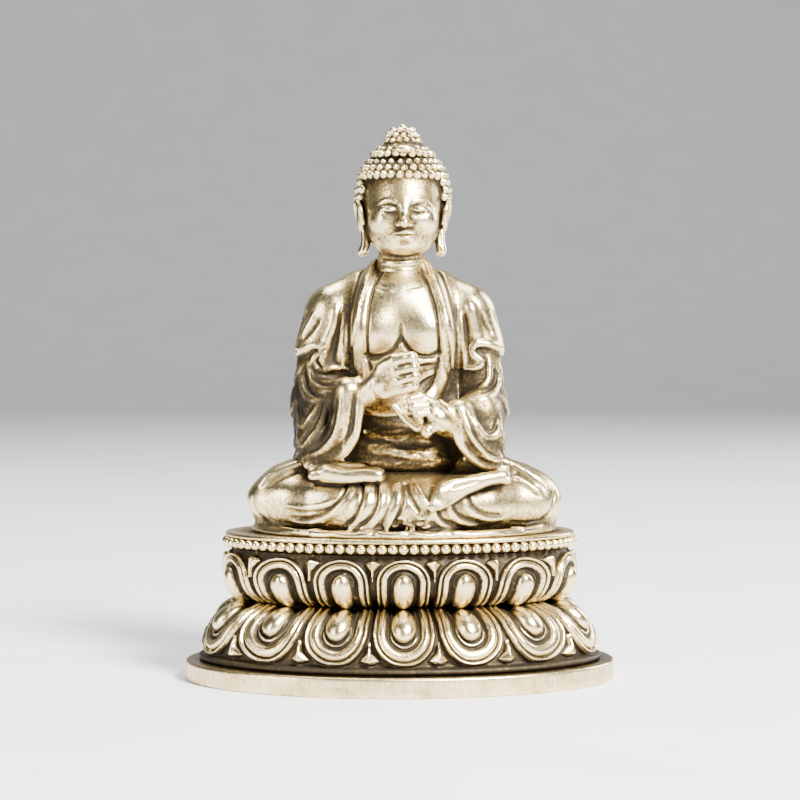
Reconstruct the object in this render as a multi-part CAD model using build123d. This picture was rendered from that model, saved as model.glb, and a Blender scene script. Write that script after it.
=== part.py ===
from build123d import *

import math
import os

# Seated Buddha on a double lotus throne: an antique brass desk statue, cast in sections.
#
# Millimetres. +Z is up, the figure faces -Y, and the origin is the centre of the foot plate's
# underside. "Right" and "left" are the figure's own, so its right hand is on the -X side.
#
# From the floor up: an oval foot plate with a sealing plate let into its underside, two hollow
# lotus tiers, a seat slab with a beaded band round its edge, then the figure: crossed legs, torso,
# two sleeved arms, two hands, and a head with a jewel set in its hair. One screw from inside the
# throne holds the figure down.

# ---------------------------------------------------------------- driving dimensions
HEIGHT = 65.0  # floor to the top of the hair
INSET = 7.5  # every ring of the throne is this much shallower than it is wide, by half
WALL = 1.9  # wall of the hollow tiers
FIT = 0.05  # gap all round between a spigot and its socket

PLATE_A, PLATE_T = 25.2, 2.3  # foot plate: half width, thickness
PLATE_ROUND = 0.6  # rounding of the plate's top edge
SEAL_A, SEAL_T, SEAL_LIFT = 20.4, 0.6, 0.3  # sealing plate: half width, thickness, height off the floor
SEAL_GAP, SEAL_LEDGE = 0.1, 1.2  # rebate round the sealing plate, and the ledge that it rests against

WAIST_Z, WAIST_A = 9.2, 17.4  # where the two tiers meet
TIER_TOP_Z = 15.55
TIER_SPIGOT_H, SLAB_SPIGOT_H = 1.5, 1.2
TIER_SPIGOT_A = WAIST_A - WALL - FIT  # on the upper tier, into the lower tier
TIER_SPIGOT_WALL = 1.2
SLAB_SPIGOT_A = TIER_SPIGOT_A - TIER_SPIGOT_WALL - FIT
LOWER_FOOT_A, LOWER_FOOT_H = 23.6, 0.7  # flat moulding under the lower petals

# Petals stand closer together at the flat front and back of the oval than at its ends.
PETAL_ANGLES = (0, 20, 43, 74, 106, 137, 160, 180)
PETAL_T, BULB_R, BULB_HALF = 1.3, 1.3, 0.9  # petal plate, and the bulb on it: radius, half length
BULB_PLACE = 0.42  # how far along the petal the bulb stands
PETAL_BULGE = 0.9  # how far a petal stands out of its tier

SEAT_Z, SLAB_A = 17.3, 20.6  # top of the slab under the figure, half width of its lip
BEAD_GROOVE = 1.05  # depth of the slab's groove that the beads lie in
BEAD_R, BEAD_COUNT, BEAD_Z = 0.56, 88, 16.18
BEAD_LIP_GAP = 0.03
STRIP_T, STRIP_H, STRIP_GAP = 0.2, 0.7, 0.02  # the strip behind the beads, and its gap to them

SCREW_R, SCREW_CLEAR, THREAD_CLEAR = 1.25, 0.05, 0.02
SCREW_HEAD_R, SCREW_HEAD_H = 2.3, 1.6
SCREW_DEPTH, SCREW_TIP_GAP = 5.0, 0.5
SLOT_W, SLOT_H = 0.6, 0.7
WASHER_R, WASHER_T = 3.2, 0.5
WASHER_Z = TIER_TOP_Z - SLAB_SPIGOT_H - WASHER_T

LAP_TOP = 24.4  # flat seat on the legs that the torso stands on
SOCKET_R, SPIGOT_H, SPIGOT_Y = 3.0, 1.5, 3.0  # round spigot of the legs, into the torso
SOCKET_END_GAP = 0.2
NECK_Y, NECK_Z = 2.0, 47.2  # top of the torso, where the head's neck starts
TENON_R, TENON_H, TENON_CLEAR = 1.6, 2.5, 0.03  # round tenon of the head, into the torso
TOPKNOT_R = 2.4
# The face follows the old canon of statues: twelve units from hairline to chin and twelve across,
# with four more units down to the neck's foot.
HAIRLINE_Z = 58.4
FACE_UNIT = (HAIRLINE_Z - NECK_Z) / 16
CHIN_Z = HAIRLINE_Z - 12 * FACE_UNIT
FACE_A = 6 * FACE_UNIT  # half width
SKULL_Y = 1.0  # the head's axis is this far behind the throne's
EAR_T, EAR_HALF_DEPTH, EAR_HALF_HEIGHT = 1.1, 1.3, 3.5
FINGER_R, FINGER_PITCH = 0.68, 1.28  # right hand
CURLED_R = 0.6  # left hand's fingers

BOTTOM = (Align.CENTER, Align.CENTER, Align.MIN)
FIELD = 80  # wider than the whole object, for blocks that trim it

os.makedirs("parts", exist_ok=True)


# ---------------------------------------------------------------- helpers
def oval(a, z):
    """A flat oval face of half width a at height z."""
    return Pos(0, 0, z) * Ellipse(a, a - INSET)


def oval_disc(a, z, height):
    """A straight-sided oval solid of half width a, standing at height z."""
    return extrude(oval(a, z), height)


def oval_stack(rings):
    """A solid through ovals, each (half width, height)."""
    return loft([oval(a, z) for a, z in rings])


def section_stack(rings):
    """A solid through level ovals, each (x, y, z, half width, half depth)."""
    return loft([Pos(x, y, z) * Ellipse(a, b) for x, y, z, a, b in rings])


def limb(stations):
    """A solid through ovals square to a limb's run, each (centre, direction, half width, half height)."""
    faces = []
    for centre, direction, a, b in stations:
        run = Vector(*direction)
        level = run.cross(Vector(0, 0, 1))
        faces.append(Plane(origin=centre, x_dir=level, z_dir=run) * Ellipse(a, b))
    return loft(faces)


def largest(shape):
    """The biggest solid of a shape that a cut has left in pieces."""
    return max(shape.solids(), key=lambda solid: solid.volume)


def capsule(start, end, radius):
    """A round rod with ball ends."""
    a, b = Vector(*start), Vector(*end)
    axis = b - a
    rod = extrude(Plane(origin=a, z_dir=axis) * Circle(radius), axis.length)
    return rod + Pos(*start) * Sphere(radius) + Pos(*end) * Sphere(radius)


def oval_point(a, angle):
    """The point of a ring of half width a at an angle in degrees from the front, and its outward normal."""
    b = a - INSET
    t = math.radians(angle)
    x, y = a * math.sin(t), -b * math.cos(t)
    return x, y, Vector(x / a**2, y / b**2, 0).normalized()


def petal_ring(root_a, tip_a, root_z, tip_z, width):
    """Petals round a tier: rounded plates from the root ring to the tip ring, each with a bulb."""
    petals = []
    for angle in PETAL_ANGLES + tuple(-a for a in PETAL_ANGLES[1:-1]):
        xr, yr, _ = oval_point(root_a, angle)
        xt, yt, normal = oval_point(tip_a, angle)
        root, tip = Vector(xr, yr, root_z), Vector(xt, yt, tip_z)
        run = tip - root
        across = Vector(0, 0, 1).cross(normal).normalized()
        out = run.cross(across).normalized()
        if out.dot(normal) < 0:
            out = -out
        straight = run.length - width / 2
        outline = Rectangle(straight, width, align=(Align.MIN, Align.CENTER))
        outline += Pos(straight, 0) * Circle(width / 2)
        frame = Plane(origin=root + out * (PETAL_BULGE - PETAL_T), x_dir=run, z_dir=out)
        bulb = capsule((-BULB_HALF, 0, 0), (BULB_HALF, 0, 0), BULB_R)
        plate = extrude(outline, PETAL_T) + Pos(run.length * BULB_PLACE, 0, PETAL_T) * bulb
        petals.append(frame * plate)
    return petals


def level_slice(low, high):
    """Everything between two heights."""
    return Pos(0, 0, low) * Box(FIELD, FIELD, high - low, align=BOTTOM)


def save(shape, name):
    shape.label = name
    export_step(shape, f"parts/{name}.step")


# ---------------------------------------------------------------- throne
def foot_plate():
    """Oval ring, open in the middle, with a rebate below for the sealing plate."""
    plate = oval_disc(PLATE_A, 0, PLATE_T)
    plate = fillet(plate.edges().group_by(Axis.Z)[-1], PLATE_ROUND)
    rebate = oval_disc(SEAL_A + SEAL_GAP, 0, SEAL_LIFT + SEAL_T)
    opening = oval_disc(SEAL_A - SEAL_LEDGE, 0, PLATE_T)
    return plate - rebate - opening


def sealing_plate():
    """Thin sheet that closes the hollow throne from below."""
    return oval_disc(SEAL_A, SEAL_LIFT, SEAL_T)


def lower_lotus_tier():
    """Hollow tier with its petals hanging outwards, on a narrow moulded foot."""
    foot_top = PLATE_T + LOWER_FOOT_H
    rings = [(22.6, foot_top), (22.2, 4.4), (21.6, 6.4), (20.4, 8.0), (WAIST_A, WAIST_Z)]
    tier = oval_disc(LOWER_FOOT_A, PLATE_T, LOWER_FOOT_H) + oval_stack(rings)
    tier -= oval_disc(WAIST_A - WALL, PLATE_T, WAIST_Z - PLATE_T)
    for petal in petal_ring(WAIST_A - 0.3, 23.0, WAIST_Z - 0.1, 3.5, width=6.6):
        tier += petal
    return tier & level_slice(PLATE_T, WAIST_Z)


def upper_lotus_tier():
    """Hollow tier with its petals standing up and outwards, and a spigot into the lower tier."""
    rings = [(WAIST_A, WAIST_Z), (19.3, 10.6), (19.9, 12.4), (19.9, TIER_TOP_Z)]
    bottom_z = WAIST_Z - TIER_SPIGOT_H
    hollow = oval_disc(TIER_SPIGOT_A - TIER_SPIGOT_WALL, bottom_z, TIER_TOP_Z - bottom_z)
    body = oval_stack(rings) - hollow
    for petal in petal_ring(WAIST_A - 0.2, 20.4, WAIST_Z + 0.3, 15.0, width=6.2):
        body += petal
    spigot = oval_disc(TIER_SPIGOT_A, bottom_z, TIER_SPIGOT_H) - hollow
    return (body & level_slice(WAIST_Z, TIER_TOP_Z)) + spigot


def seat_slab():
    """Slab that closes the throne's top: a spigot, a body behind the beads and a thin lip above them."""
    lip_z = BEAD_Z + BEAD_R + BEAD_LIP_GAP
    slab = oval_disc(SLAB_A - BEAD_GROOVE, TIER_TOP_Z, SEAT_Z - TIER_TOP_Z)
    slab += oval_disc(SLAB_A, lip_z, SEAT_Z - lip_z)
    slab += oval_disc(SLAB_SPIGOT_A, TIER_TOP_Z - SLAB_SPIGOT_H, SLAB_SPIGOT_H)
    return slab - Pos(0, 0, WASHER_Z) * Cylinder(SCREW_R + SCREW_CLEAR, SEAT_Z - WASHER_Z, align=BOTTOM)


def bead_band():
    """Beaded border: equal balls standing on a thin strip let into the slab's groove."""
    strip_a = SLAB_A - BEAD_GROOVE + STRIP_GAP
    strip_z = BEAD_Z - STRIP_H / 2
    strip = oval_disc(strip_a + STRIP_T, strip_z, STRIP_H) - oval_disc(strip_a, strip_z, STRIP_H)
    ball_a = strip_a + STRIP_T + STRIP_GAP + BEAD_R
    path = Pos(0, 0, BEAD_Z) * Edge.make_ellipse(ball_a, ball_a - INSET)
    balls = [Pos(*(path @ (i / BEAD_COUNT))) * Sphere(BEAD_R) for i in range(BEAD_COUNT)]
    return Compound(children=[strip, *balls])


# ---------------------------------------------------------------- figure screw
def figure_screw():
    """Cheese-head screw from inside the throne up into the legs, with a driver slot."""
    head = Pos(0, 0, WASHER_Z - SCREW_HEAD_H) * Cylinder(SCREW_HEAD_R, SCREW_HEAD_H, align=BOTTOM)
    slot = Pos(0, 0, WASHER_Z - SCREW_HEAD_H) * Box(3 * SCREW_HEAD_R, SLOT_W, SLOT_H, align=BOTTOM)
    shank = Pos(0, 0, WASHER_Z) * Cylinder(SCREW_R, SEAT_Z + SCREW_DEPTH - WASHER_Z, align=BOTTOM)
    return head + shank - slot


def screw_washer():
    """Plain washer between the screw's head and the slab."""
    hole = Cylinder(SCREW_R + SCREW_CLEAR, WASHER_T, align=BOTTOM)
    return Pos(0, 0, WASHER_Z) * (Cylinder(WASHER_R, WASHER_T, align=BOTTOM) - hole)


# ---------------------------------------------------------------- figure
def crossed_legs():
    """Legs folded in the full lotus, with the robe over them, both feet up and a flat seat on top."""
    legs = section_stack(
        [
            (0.4, -0.2, SEAT_Z, 16.6, 11.4),
            (0.4, -0.2, SEAT_Z + 2.0, 17.8, 12.0),
            (0.4, -0.2, SEAT_Z + 4.2, 17.7, 11.8),
            (0.4, 0.2, SEAT_Z + 6.0, 15.4, 10.4),
            (0.2, 0.8, LAP_TOP, 12.4, 9.2),
        ]
    )
    for side in (-1, 1):
        legs += capsule((side * 2.4, -9.2, 23.6), (side * 9.6, -7.6, 24.0), 1.5)
    legs += Pos(0, SPIGOT_Y, LAP_TOP) * Cylinder(SOCKET_R - FIT, SPIGOT_H, align=BOTTOM)
    hole = Cylinder(SCREW_R + THREAD_CLEAR, SCREW_DEPTH + SCREW_TIP_GAP, align=BOTTOM)
    return legs - Pos(0, 0, SEAT_Z) * hole


def torso():
    """Robed body from the lap to the neck, with a socket for the legs' spigot and one for the head's tenon."""
    body = section_stack(
        [
            (0, 2.0, LAP_TOP, 7.6, 6.2),
            (0, 1.8, 30.0, 7.0, 6.0),
            (0, 1.4, 36.0, 7.6, 6.0),
            (0, 1.4, 41.0, 8.6, 5.8),
            (0, 1.6, 44.5, 8.0, 4.8),
            (0, 1.8, 46.2, 6.0, 4.0),
            (0, NECK_Y, NECK_Z, 3.5, 3.3),
        ]
    )
    socket = Cylinder(SOCKET_R, SPIGOT_H + SOCKET_END_GAP, align=BOTTOM)
    mortise = Cylinder(TENON_R + TENON_CLEAR, TENON_H, align=BOTTOM)
    return body - Pos(0, SPIGOT_Y, LAP_TOP) * socket - Pos(0, NECK_Y, NECK_Z - TENON_H) * mortise


def sleeve(side):
    """One arm in its wide sleeve: the shoulder, the drape down to the lap, and the forearm to the wrist."""
    drape = section_stack(
        [
            (side * 7.6, 1.8, 45.2, 1.5, 2.6),
            (side * 7.7, 1.8, 43.4, 2.9, 4.2),
            (side * 8.8, 1.6, 38.8, 3.4, 4.6),
            (side * 9.2, 0.6, 33.0, 3.5, 5.2),
            (side * 9.3, -0.8, 28.0, 3.6, 6.4),
            (side * 9.4, -1.6, LAP_TOP + 0.4, 3.6, 7.0),
        ]
    )
    forearm = limb(
        [
            ((side * 9.6, -1.0, 30.2), (side * -0.4, -1, 0), 2.9, 4.6),
            ((side * 8.4, -4.6, 30.0), (side * -0.6, -1, 0), 2.3, 4.4),
            ((side * 5.6, -7.9, 31.6), (side * -1, -0.8, 0), 1.9, 3.0),
        ]
    )
    return drape + forearm


def right_hand():
    """Upper hand: wrist, back of the hand, and a fist whose four fingers lie one above the other."""
    hand = capsule((-5.6, -7.6, 32.4), (-3.4, -8.4, 33.9), 1.6)
    hand += capsule((-2.4, -8.8, 34.6), (-1.6, -9.0, 36.4), 1.5)
    for i in range(4):
        z = 38.0 - FINGER_PITCH * i
        hand += capsule((-1.0 + 0.15 * i, -9.7, z - 0.2), (1.1, -9.8, z + 0.1), FINGER_R)
    return hand


def left_hand():
    """Lower hand: wrist, back of the hand, and fingers curled up under the right fist."""
    hand = capsule((6.0, -7.0, 29.2), (4.2, -8.2, 30.4), 1.5)
    hand += capsule((3.4, -8.6, 31.0), (2.6, -8.8, 31.8), 1.3)
    for i in range(3):
        knuckle, tip = (2.9 - 0.2 * i, -9.3, 32.4 - i), (0.9 - 0.2 * i, -9.6, 32.6 - 1.1 * i)
        hand += capsule(knuckle, tip, CURLED_R)
    return hand


def hair_jewel():
    """Oval cabochon set in the hair, between the crown and the topknot."""
    return Pos(0, -2.6, 61.7) * scale(Sphere(1), by=(1.15, 0.7, 0.6))


def head():
    """Head with its hair and topknot, long ears, the neck, and a round tenon into the torso."""
    shape = section_stack(
        [
            (0, -0.6, CHIN_Z + 0.1, 1.9, 2.0),
            (0, -0.1, CHIN_Z + 2 * FACE_UNIT, 3.5, 3.6),
            (0, 0.5, CHIN_Z + 5 * FACE_UNIT, FACE_A, 4.6),
            (0, 0.9, 56.0, 4.9, 5.1),
            (0, SKULL_Y, 58.8, 5.2, 5.4),
            (0, SKULL_Y, 60.8, 4.2, 4.4),
            (0, SKULL_Y, 62.0, 2.4, 2.6),
        ]
    )
    shape += Pos(0, SKULL_Y, HEIGHT - TOPKNOT_R) * Sphere(TOPKNOT_R)
    shape += section_stack([(0, NECK_Y, NECK_Z, 3.0, 2.8), (0, 1.6, 50.8, 2.7, 2.7)])
    for side in (-1, 1):
        ear_plane = Plane(origin=(side * 4.6, 0.9, 53.0), x_dir=(0, 1, 0), z_dir=(side, 0, 0))
        shape += extrude(ear_plane * Ellipse(EAR_HALF_DEPTH, EAR_HALF_HEIGHT), EAR_T)
    tenon_h = TENON_H - SOCKET_END_GAP
    return shape + Pos(0, NECK_Y, NECK_Z - tenon_h) * Cylinder(TENON_R, tenon_h, align=BOTTOM)


# ---------------------------------------------------------------- build
def figure():
    """The figure's sections, each cut back to the face where it meets the sections before it."""
    legs, body, jewel = crossed_legs(), torso(), hair_jewel()
    sections = {"crossed_legs": legs, "torso": body, "hair_jewel": jewel, "head": head() - jewel}
    arms = {}
    for name, side in (("right_sleeve", -1), ("left_sleeve", 1)):
        arms[name] = largest(largest(sleeve(side) - body) - legs)
    arms["right_hand"] = largest(largest(right_hand() - arms["right_sleeve"]) - body)
    arms["left_hand"] = largest(left_hand() - arms["left_sleeve"] - body - arms["right_hand"])
    return sections | arms


def main():
    throne = (foot_plate, sealing_plate, lower_lotus_tier, upper_lotus_tier, seat_slab, bead_band)
    for make in (*throne, figure_screw, screw_washer):
        save(make(), make.__name__)
    for name, shape in figure().items():
        save(shape, name)


main()
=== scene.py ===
import math

import bmesh
import bpy
import numpy as np
import openvdb as vdb
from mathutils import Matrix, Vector


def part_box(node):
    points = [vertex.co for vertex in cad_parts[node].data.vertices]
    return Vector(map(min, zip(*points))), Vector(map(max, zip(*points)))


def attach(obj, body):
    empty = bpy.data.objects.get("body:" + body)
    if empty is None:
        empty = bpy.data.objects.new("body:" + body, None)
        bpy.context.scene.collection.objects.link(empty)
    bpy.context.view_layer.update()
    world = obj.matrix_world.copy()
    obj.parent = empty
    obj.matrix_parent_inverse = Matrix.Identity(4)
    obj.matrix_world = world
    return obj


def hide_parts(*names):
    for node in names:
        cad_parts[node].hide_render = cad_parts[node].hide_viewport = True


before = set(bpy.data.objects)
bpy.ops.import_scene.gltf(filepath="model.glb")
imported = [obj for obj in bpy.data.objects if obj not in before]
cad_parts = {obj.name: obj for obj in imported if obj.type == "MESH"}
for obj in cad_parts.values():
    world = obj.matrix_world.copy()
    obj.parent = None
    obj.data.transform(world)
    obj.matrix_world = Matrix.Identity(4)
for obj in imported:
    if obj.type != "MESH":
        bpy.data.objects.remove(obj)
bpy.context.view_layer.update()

# Everything below is worked out in millimetres and turned into metres when a mesh is made.
MM = 0.001
INSET = 7.5  # a ring of the throne is this much shallower than it is wide, by half


def millimetres(node):
    """The lowest and highest corner of a CAD node."""
    low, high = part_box(node)
    return np.array(low) / MM, np.array(high) / MM


# ------------------------------------------------------------------ small helpers
def smooth(a, b, x):
    """0 below a, 1 above b, and a smooth step between."""
    t = np.clip((x - a) / (b - a), 0.0, 1.0)
    return t * t * (3.0 - 2.0 * t)


def spline(points, spacing=0.25):
    """A smooth curve through points, as closely spaced points. Works in two or more dimensions."""
    p = np.array(points, float)
    if len(p) == 2:
        n = max(2, int(np.linalg.norm(p[1] - p[0]) / spacing) + 1)
        return p[0] + (p[1] - p[0]) * np.linspace(0, 1, n)[:, None]
    ends = np.vstack([2 * p[0] - p[1], p, 2 * p[-1] - p[-2]])
    out = []
    for i in range(len(p) - 1):
        p0, p1, p2, p3 = ends[i : i + 4]
        n = max(2, int(np.linalg.norm(p2 - p1) / spacing) + 1)
        t = np.linspace(0, 1, n, endpoint=False)[:, None]
        square, cube = 2 * p0 - 5 * p1 + 4 * p2 - p3, 3 * p1 - p0 - 3 * p2 + p3
        out.append(0.5 * (2 * p1 + (p2 - p0) * t + square * t**2 + cube * t**3))
    out.append(p[-1:])
    return np.vstack(out)


def box_blur(a, cells):
    """The mean of a grid over a cube of 2 * cells + 1, done twice for a softer falloff."""
    for _ in range(2):
        for axis in range(3):
            pad = [(0, 0)] * 3
            pad[axis] = (cells + 1, cells)
            total = np.cumsum(np.pad(a, pad, mode="edge"), axis=axis, dtype=np.float32)
            n = a.shape[axis]
            high = np.take(total, np.arange(2 * cells + 1, 2 * cells + 1 + n), axis=axis)
            low = np.take(total, np.arange(0, n), axis=axis)
            a = (high - low) / (2 * cells + 1)
    return a


def sample(grid, low, step, points):
    """A grid's values at points, by linear interpolation."""
    g = (points - low) / step
    top = np.array(grid.shape) - 2
    i = np.clip(np.floor(g).astype(int), 0, top)
    f = np.clip(g - i, 0.0, 1.0)
    value = np.zeros(len(points), np.float32)
    for dx in (0, 1):
        for dy in (0, 1):
            for dz in (0, 1):
                w = (f[:, 0] if dx else 1 - f[:, 0]) * (f[:, 1] if dy else 1 - f[:, 1])
                w = w * (f[:, 2] if dz else 1 - f[:, 2])
                value += w * grid[i[:, 0] + dx, i[:, 1] + dy, i[:, 2] + dz]
    return value


# ------------------------------------------------------------------ clay
VIEWS = {  # which axes a drawing lies in, and which way it looks into the clay
    "front": (0, 2, 1, 1),
    "back": (0, 2, 1, -1),
    "right": (1, 2, 0, 1),
    "left": (1, 2, 0, -1),
}


EMPTY = 4.0  # the distance that a block starts with, more than any shape's reach
FINEST_STEP = 0.22  # lines are drawn no finer than this
TINY = 1e-9  # keeps a division by a length from failing
FINE_REACH, BROAD_REACH = 0.22, 0.6  # how far round a place its small and its larger hollows are felt
NEAR_REACH, FAR_REACH = 0.7, 1.6  # the same for the hollows of the whole object


class Clay:
    """A block of clay: a grid of signed distances in millimetres, negative inside the shape."""

    def __init__(self, low, high, voxel):
        self.h = voxel
        self.low = np.array(low, float)
        counts = np.ceil((np.array(high, float) - self.low) / voxel).astype(int) + 1
        self.axes = [self.low[i] + voxel * np.arange(counts[i]) for i in range(3)]
        self.d = np.full(counts, EMPTY, np.float32)

    def window(self, low, high):
        """The slices of the grid from one corner to another, and the coordinates there."""
        cut = []
        for i in range(3):
            a = int(np.clip(np.floor((low[i] - self.low[i]) / self.h), 0, self.d.shape[i]))
            b = int(np.clip(np.ceil((high[i] - self.low[i]) / self.h) + 1, 0, self.d.shape[i]))
            cut.append(slice(a, b))
        x, y, z = (self.axes[i][cut[i]].astype(np.float32) for i in range(3))
        return tuple(cut), x[:, None, None], y[None, :, None], z[None, None, :]

    def join(self, cut, shape, k):
        """Adds a shape, melting it into the clay over k millimetres."""
        here = self.d[cut]
        h = np.maximum(k - np.abs(here - shape), 0.0) / k
        self.d[cut] = np.minimum(here, shape) - h * h * k * 0.25

    def carve(self, cut, shape, k):
        """Takes a shape away, with an edge rounded over k millimetres."""
        here = self.d[cut]
        h = np.maximum(k - np.abs(here + shape), 0.0) / k
        self.d[cut] = np.maximum(here, -shape) + h * h * k * 0.25

    def ball(self, centre, radii, turn=0, k=0.5, cut_away=False):
        """An ellipsoid, turned about Y by degrees."""
        radii = np.array(radii, float) * np.ones(3)
        reach = radii.max() + 1.5 + k
        centre = np.array(centre, float)
        cut, x, y, z = self.window(centre - reach, centre + reach)
        if 0 in self.d[cut].shape:
            return
        x, y, z = x - centre[0], y - centre[1], z - centre[2]
        if turn:
            c, s = math.cos(math.radians(turn)), math.sin(math.radians(turn))
            z, x = c * z + s * x, -s * z + c * x
        a, b, c = radii
        k0 = np.sqrt((x / a) ** 2 + (y / b) ** 2 + (z / c) ** 2)
        k1 = np.sqrt((x / a**2) ** 2 + (y / b**2) ** 2 + (z / c**2) ** 2)
        shape = (k0 * (k0 - 1.0) / np.maximum(k1, 1e-6)).astype(np.float32)
        (self.carve if cut_away else self.join)(cut, shape, k)

    def segment(self, origin, a, b, reach, squash=None):
        """The part of a window near a segment, how far along it each place there is, and how far off it."""
        sub, xs, ys, zs = self.window(np.minimum(a, b) - reach, np.maximum(a, b) + reach)
        part = tuple(slice(sub[j].start - origin[j], sub[j].stop - origin[j]) for j in range(3))
        ab = b - a
        q = [xs - a[0], ys - a[1], zs - a[2]]
        if squash:
            q[squash[0]] = q[squash[0]] / squash[1]
            ab[squash[0]] /= squash[1]
        t = np.clip((q[0] * ab[0] + q[1] * ab[1] + q[2] * ab[2]) / max(float(ab @ ab), TINY), 0, 1)
        return part, t, np.sqrt((q[0] - t * ab[0]) ** 2 + (q[1] - t * ab[1]) ** 2 + (q[2] - t * ab[2]) ** 2)

    def rod(self, points, radii, k=0.4, cut_away=False, squash=None):
        """A round limb along points, a radius at each. squash=(axis, factor) scales it along an axis."""
        p = np.array(points, float)
        r = np.array(radii, float) * np.ones(len(p))
        reach = r.max() * (squash[1] if squash else 1.0) + 1.2 + k
        cut, *_ = self.window(p.min(0) - reach, p.max(0) + reach)
        if 0 in self.d[cut].shape:
            return
        shape = np.full(self.d[cut].shape, 9.0, np.float32)
        origin = [cut[i].start for i in range(3)]
        for i in range(len(p) - 1):
            part, t, d = self.segment(origin, p[i], p[i + 1], reach, squash)
            shape[part] = np.minimum(shape[part], d - (r[i] + (r[i + 1] - r[i]) * t))
        (self.carve if cut_away else self.join)(cut, shape, k)

    def depth(self, view, points):
        """Where the clay is under points of a drawing. A point off the shape takes its neighbour's depth."""
        u, v, w, sign = VIEWS[view]
        found = []
        for p in points:
            i = int(round((p[0] - self.low[u]) / self.h))
            j = int(round((p[1] - self.low[v]) / self.h))
            pick = [slice(None)] * 3
            i, j = np.clip(i, 0, self.d.shape[u] - 1), np.clip(j, 0, self.d.shape[v] - 1)
            pick[u], pick[v] = i, j
            line = self.d[tuple(pick)]
            line = line if sign > 0 else line[::-1]
            inside = np.nonzero(line < 0)[0]
            if len(inside) and inside[0] > 0:
                n = inside[0]
                part = line[n - 1] / (line[n - 1] - line[n])
                place = (n - 1 + part) * self.h
                found.append(self.low[w] + place if sign > 0 else self.axes[w][-1] - place)
            else:
                found.append(np.nan)
        found = np.array(found)
        known = np.nonzero(~np.isnan(found))[0]
        if len(known):
            found = np.interp(np.arange(len(found)), known, found[known])
        return found

    def on(self, view, points, lift=0.0):
        """Points of a drawing laid on the clay, lifted off it by a little."""
        flat = np.array(points, float)
        u, v, w, sign = VIEWS[view]
        out = np.zeros((len(flat), 3))
        out[:, u], out[:, v] = flat[:, 0], flat[:, 1]
        out[:, w] = self.depth(view, flat) - sign * lift
        return out

    def laid(self, view, points, lift=0.0):
        """A drawn line laid on the clay like a strip of cloth, over small dips and bumps."""
        path = self.on(view, points, lift)
        w = VIEWS[view][2]
        reach = min(4, (len(path) - 1) // 2)
        if reach > 0:
            padded = np.pad(path[:, w], reach, mode="reflect", reflect_type="odd")
            path[:, w] = np.convolve(padded, np.full(2 * reach + 1, 1 / (2 * reach + 1)), "valid")
        return path

    def stroke(self, view, points, width, height, sharp=1.0, taper=(0.25, 0.25)):
        """Raises (or with a negative height sinks) the surface along a line drawn on it.

        width is the ridge's half width, sharp above 1 gives it a narrower crest, below 1 a flatter one,
        and taper is the share of the line over which it fades in and out."""
        path = self.laid(view, spline(points, max(self.h * 2, FINEST_STEP)))
        n = len(path)
        share = np.linspace(0, 1, n)
        fade = np.ones(n)
        if taper[0]:
            fade *= smooth(0, taper[0], share)
        if taper[1]:
            fade *= smooth(0, taper[1], 1 - share)
        self.press(path, width * (0.45 + 0.55 * fade), height * fade, sharp)

    def press(self, path, widths, heights, sharp=1.0):
        """Raises the surface by heights within widths of a path in space."""
        reach = float(np.max(widths))
        cut, *_ = self.window(path.min(0) - reach, path.max(0) + reach)
        if 0 in self.d[cut].shape:
            return
        origin = [cut[i].start for i in range(3)]
        amount = np.zeros(self.d[cut].shape, np.float32)
        for i in range(len(path) - 1):
            w = max(widths[i], widths[i + 1])
            part, t, d = self.segment(origin, path[i], path[i + 1], w)
            wide = widths[i] + (widths[i + 1] - widths[i]) * t
            tall = abs(heights[i]) + (abs(heights[i + 1]) - abs(heights[i])) * t
            c = np.clip(1 - d / wide, 0, 1)
            c = c * c * (3 - 2 * c)
            amount[part] = np.maximum(amount[part], tall * c**sharp)
        sign = -1.0 if np.sum(heights) > 0 else 1.0
        self.d[cut] += sign * amount

    def patch(self, outline, height, edge, reach):
        """Raises everything inside an outline drawn from the front, from the first depth to the second."""
        line = np.array(outline, float)
        low, high = line.min(0) - edge, line.max(0) + edge
        near_y, far_y = max(reach[0], self.axes[1][0]), min(reach[1], self.axes[1][-1])
        cut, x, y, z = self.window((low[0], near_y, low[1]), (high[0], far_y, high[1]))
        a, b = x.ravel()[:, None], z.ravel()[None, :]
        inside = np.zeros((a.size, b.size), bool)
        near = np.full((a.size, b.size), 1e9, np.float32)
        for i in range(len(line)):
            p, q = line[i - 1], line[i]
            if p[1] != q[1]:
                left_of = a < (q[0] - p[0]) * (b - p[1]) / (q[1] - p[1]) + p[0]
                inside ^= ((p[1] > b) != (q[1] > b)) & left_of
            e = q - p
            t = np.clip(((a - p[0]) * e[0] + (b - p[1]) * e[1]) / max(float(e @ e), 1e-9), 0, 1)
            near = np.minimum(near, (a - p[0] - t * e[0]) ** 2 + (b - p[1] - t * e[1]) ** 2)
        signed = np.where(inside, 1.0, -1.0) * np.sqrt(near)
        amount = (height * smooth(-edge / 2, edge / 2, signed))[:, None, :]
        fade = smooth(reach[0], reach[0] + 1.0, y) * (1 - smooth(reach[1] - 1.0, reach[1], y))
        self.d[cut] -= (amount * fade).astype(np.float32)

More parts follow.
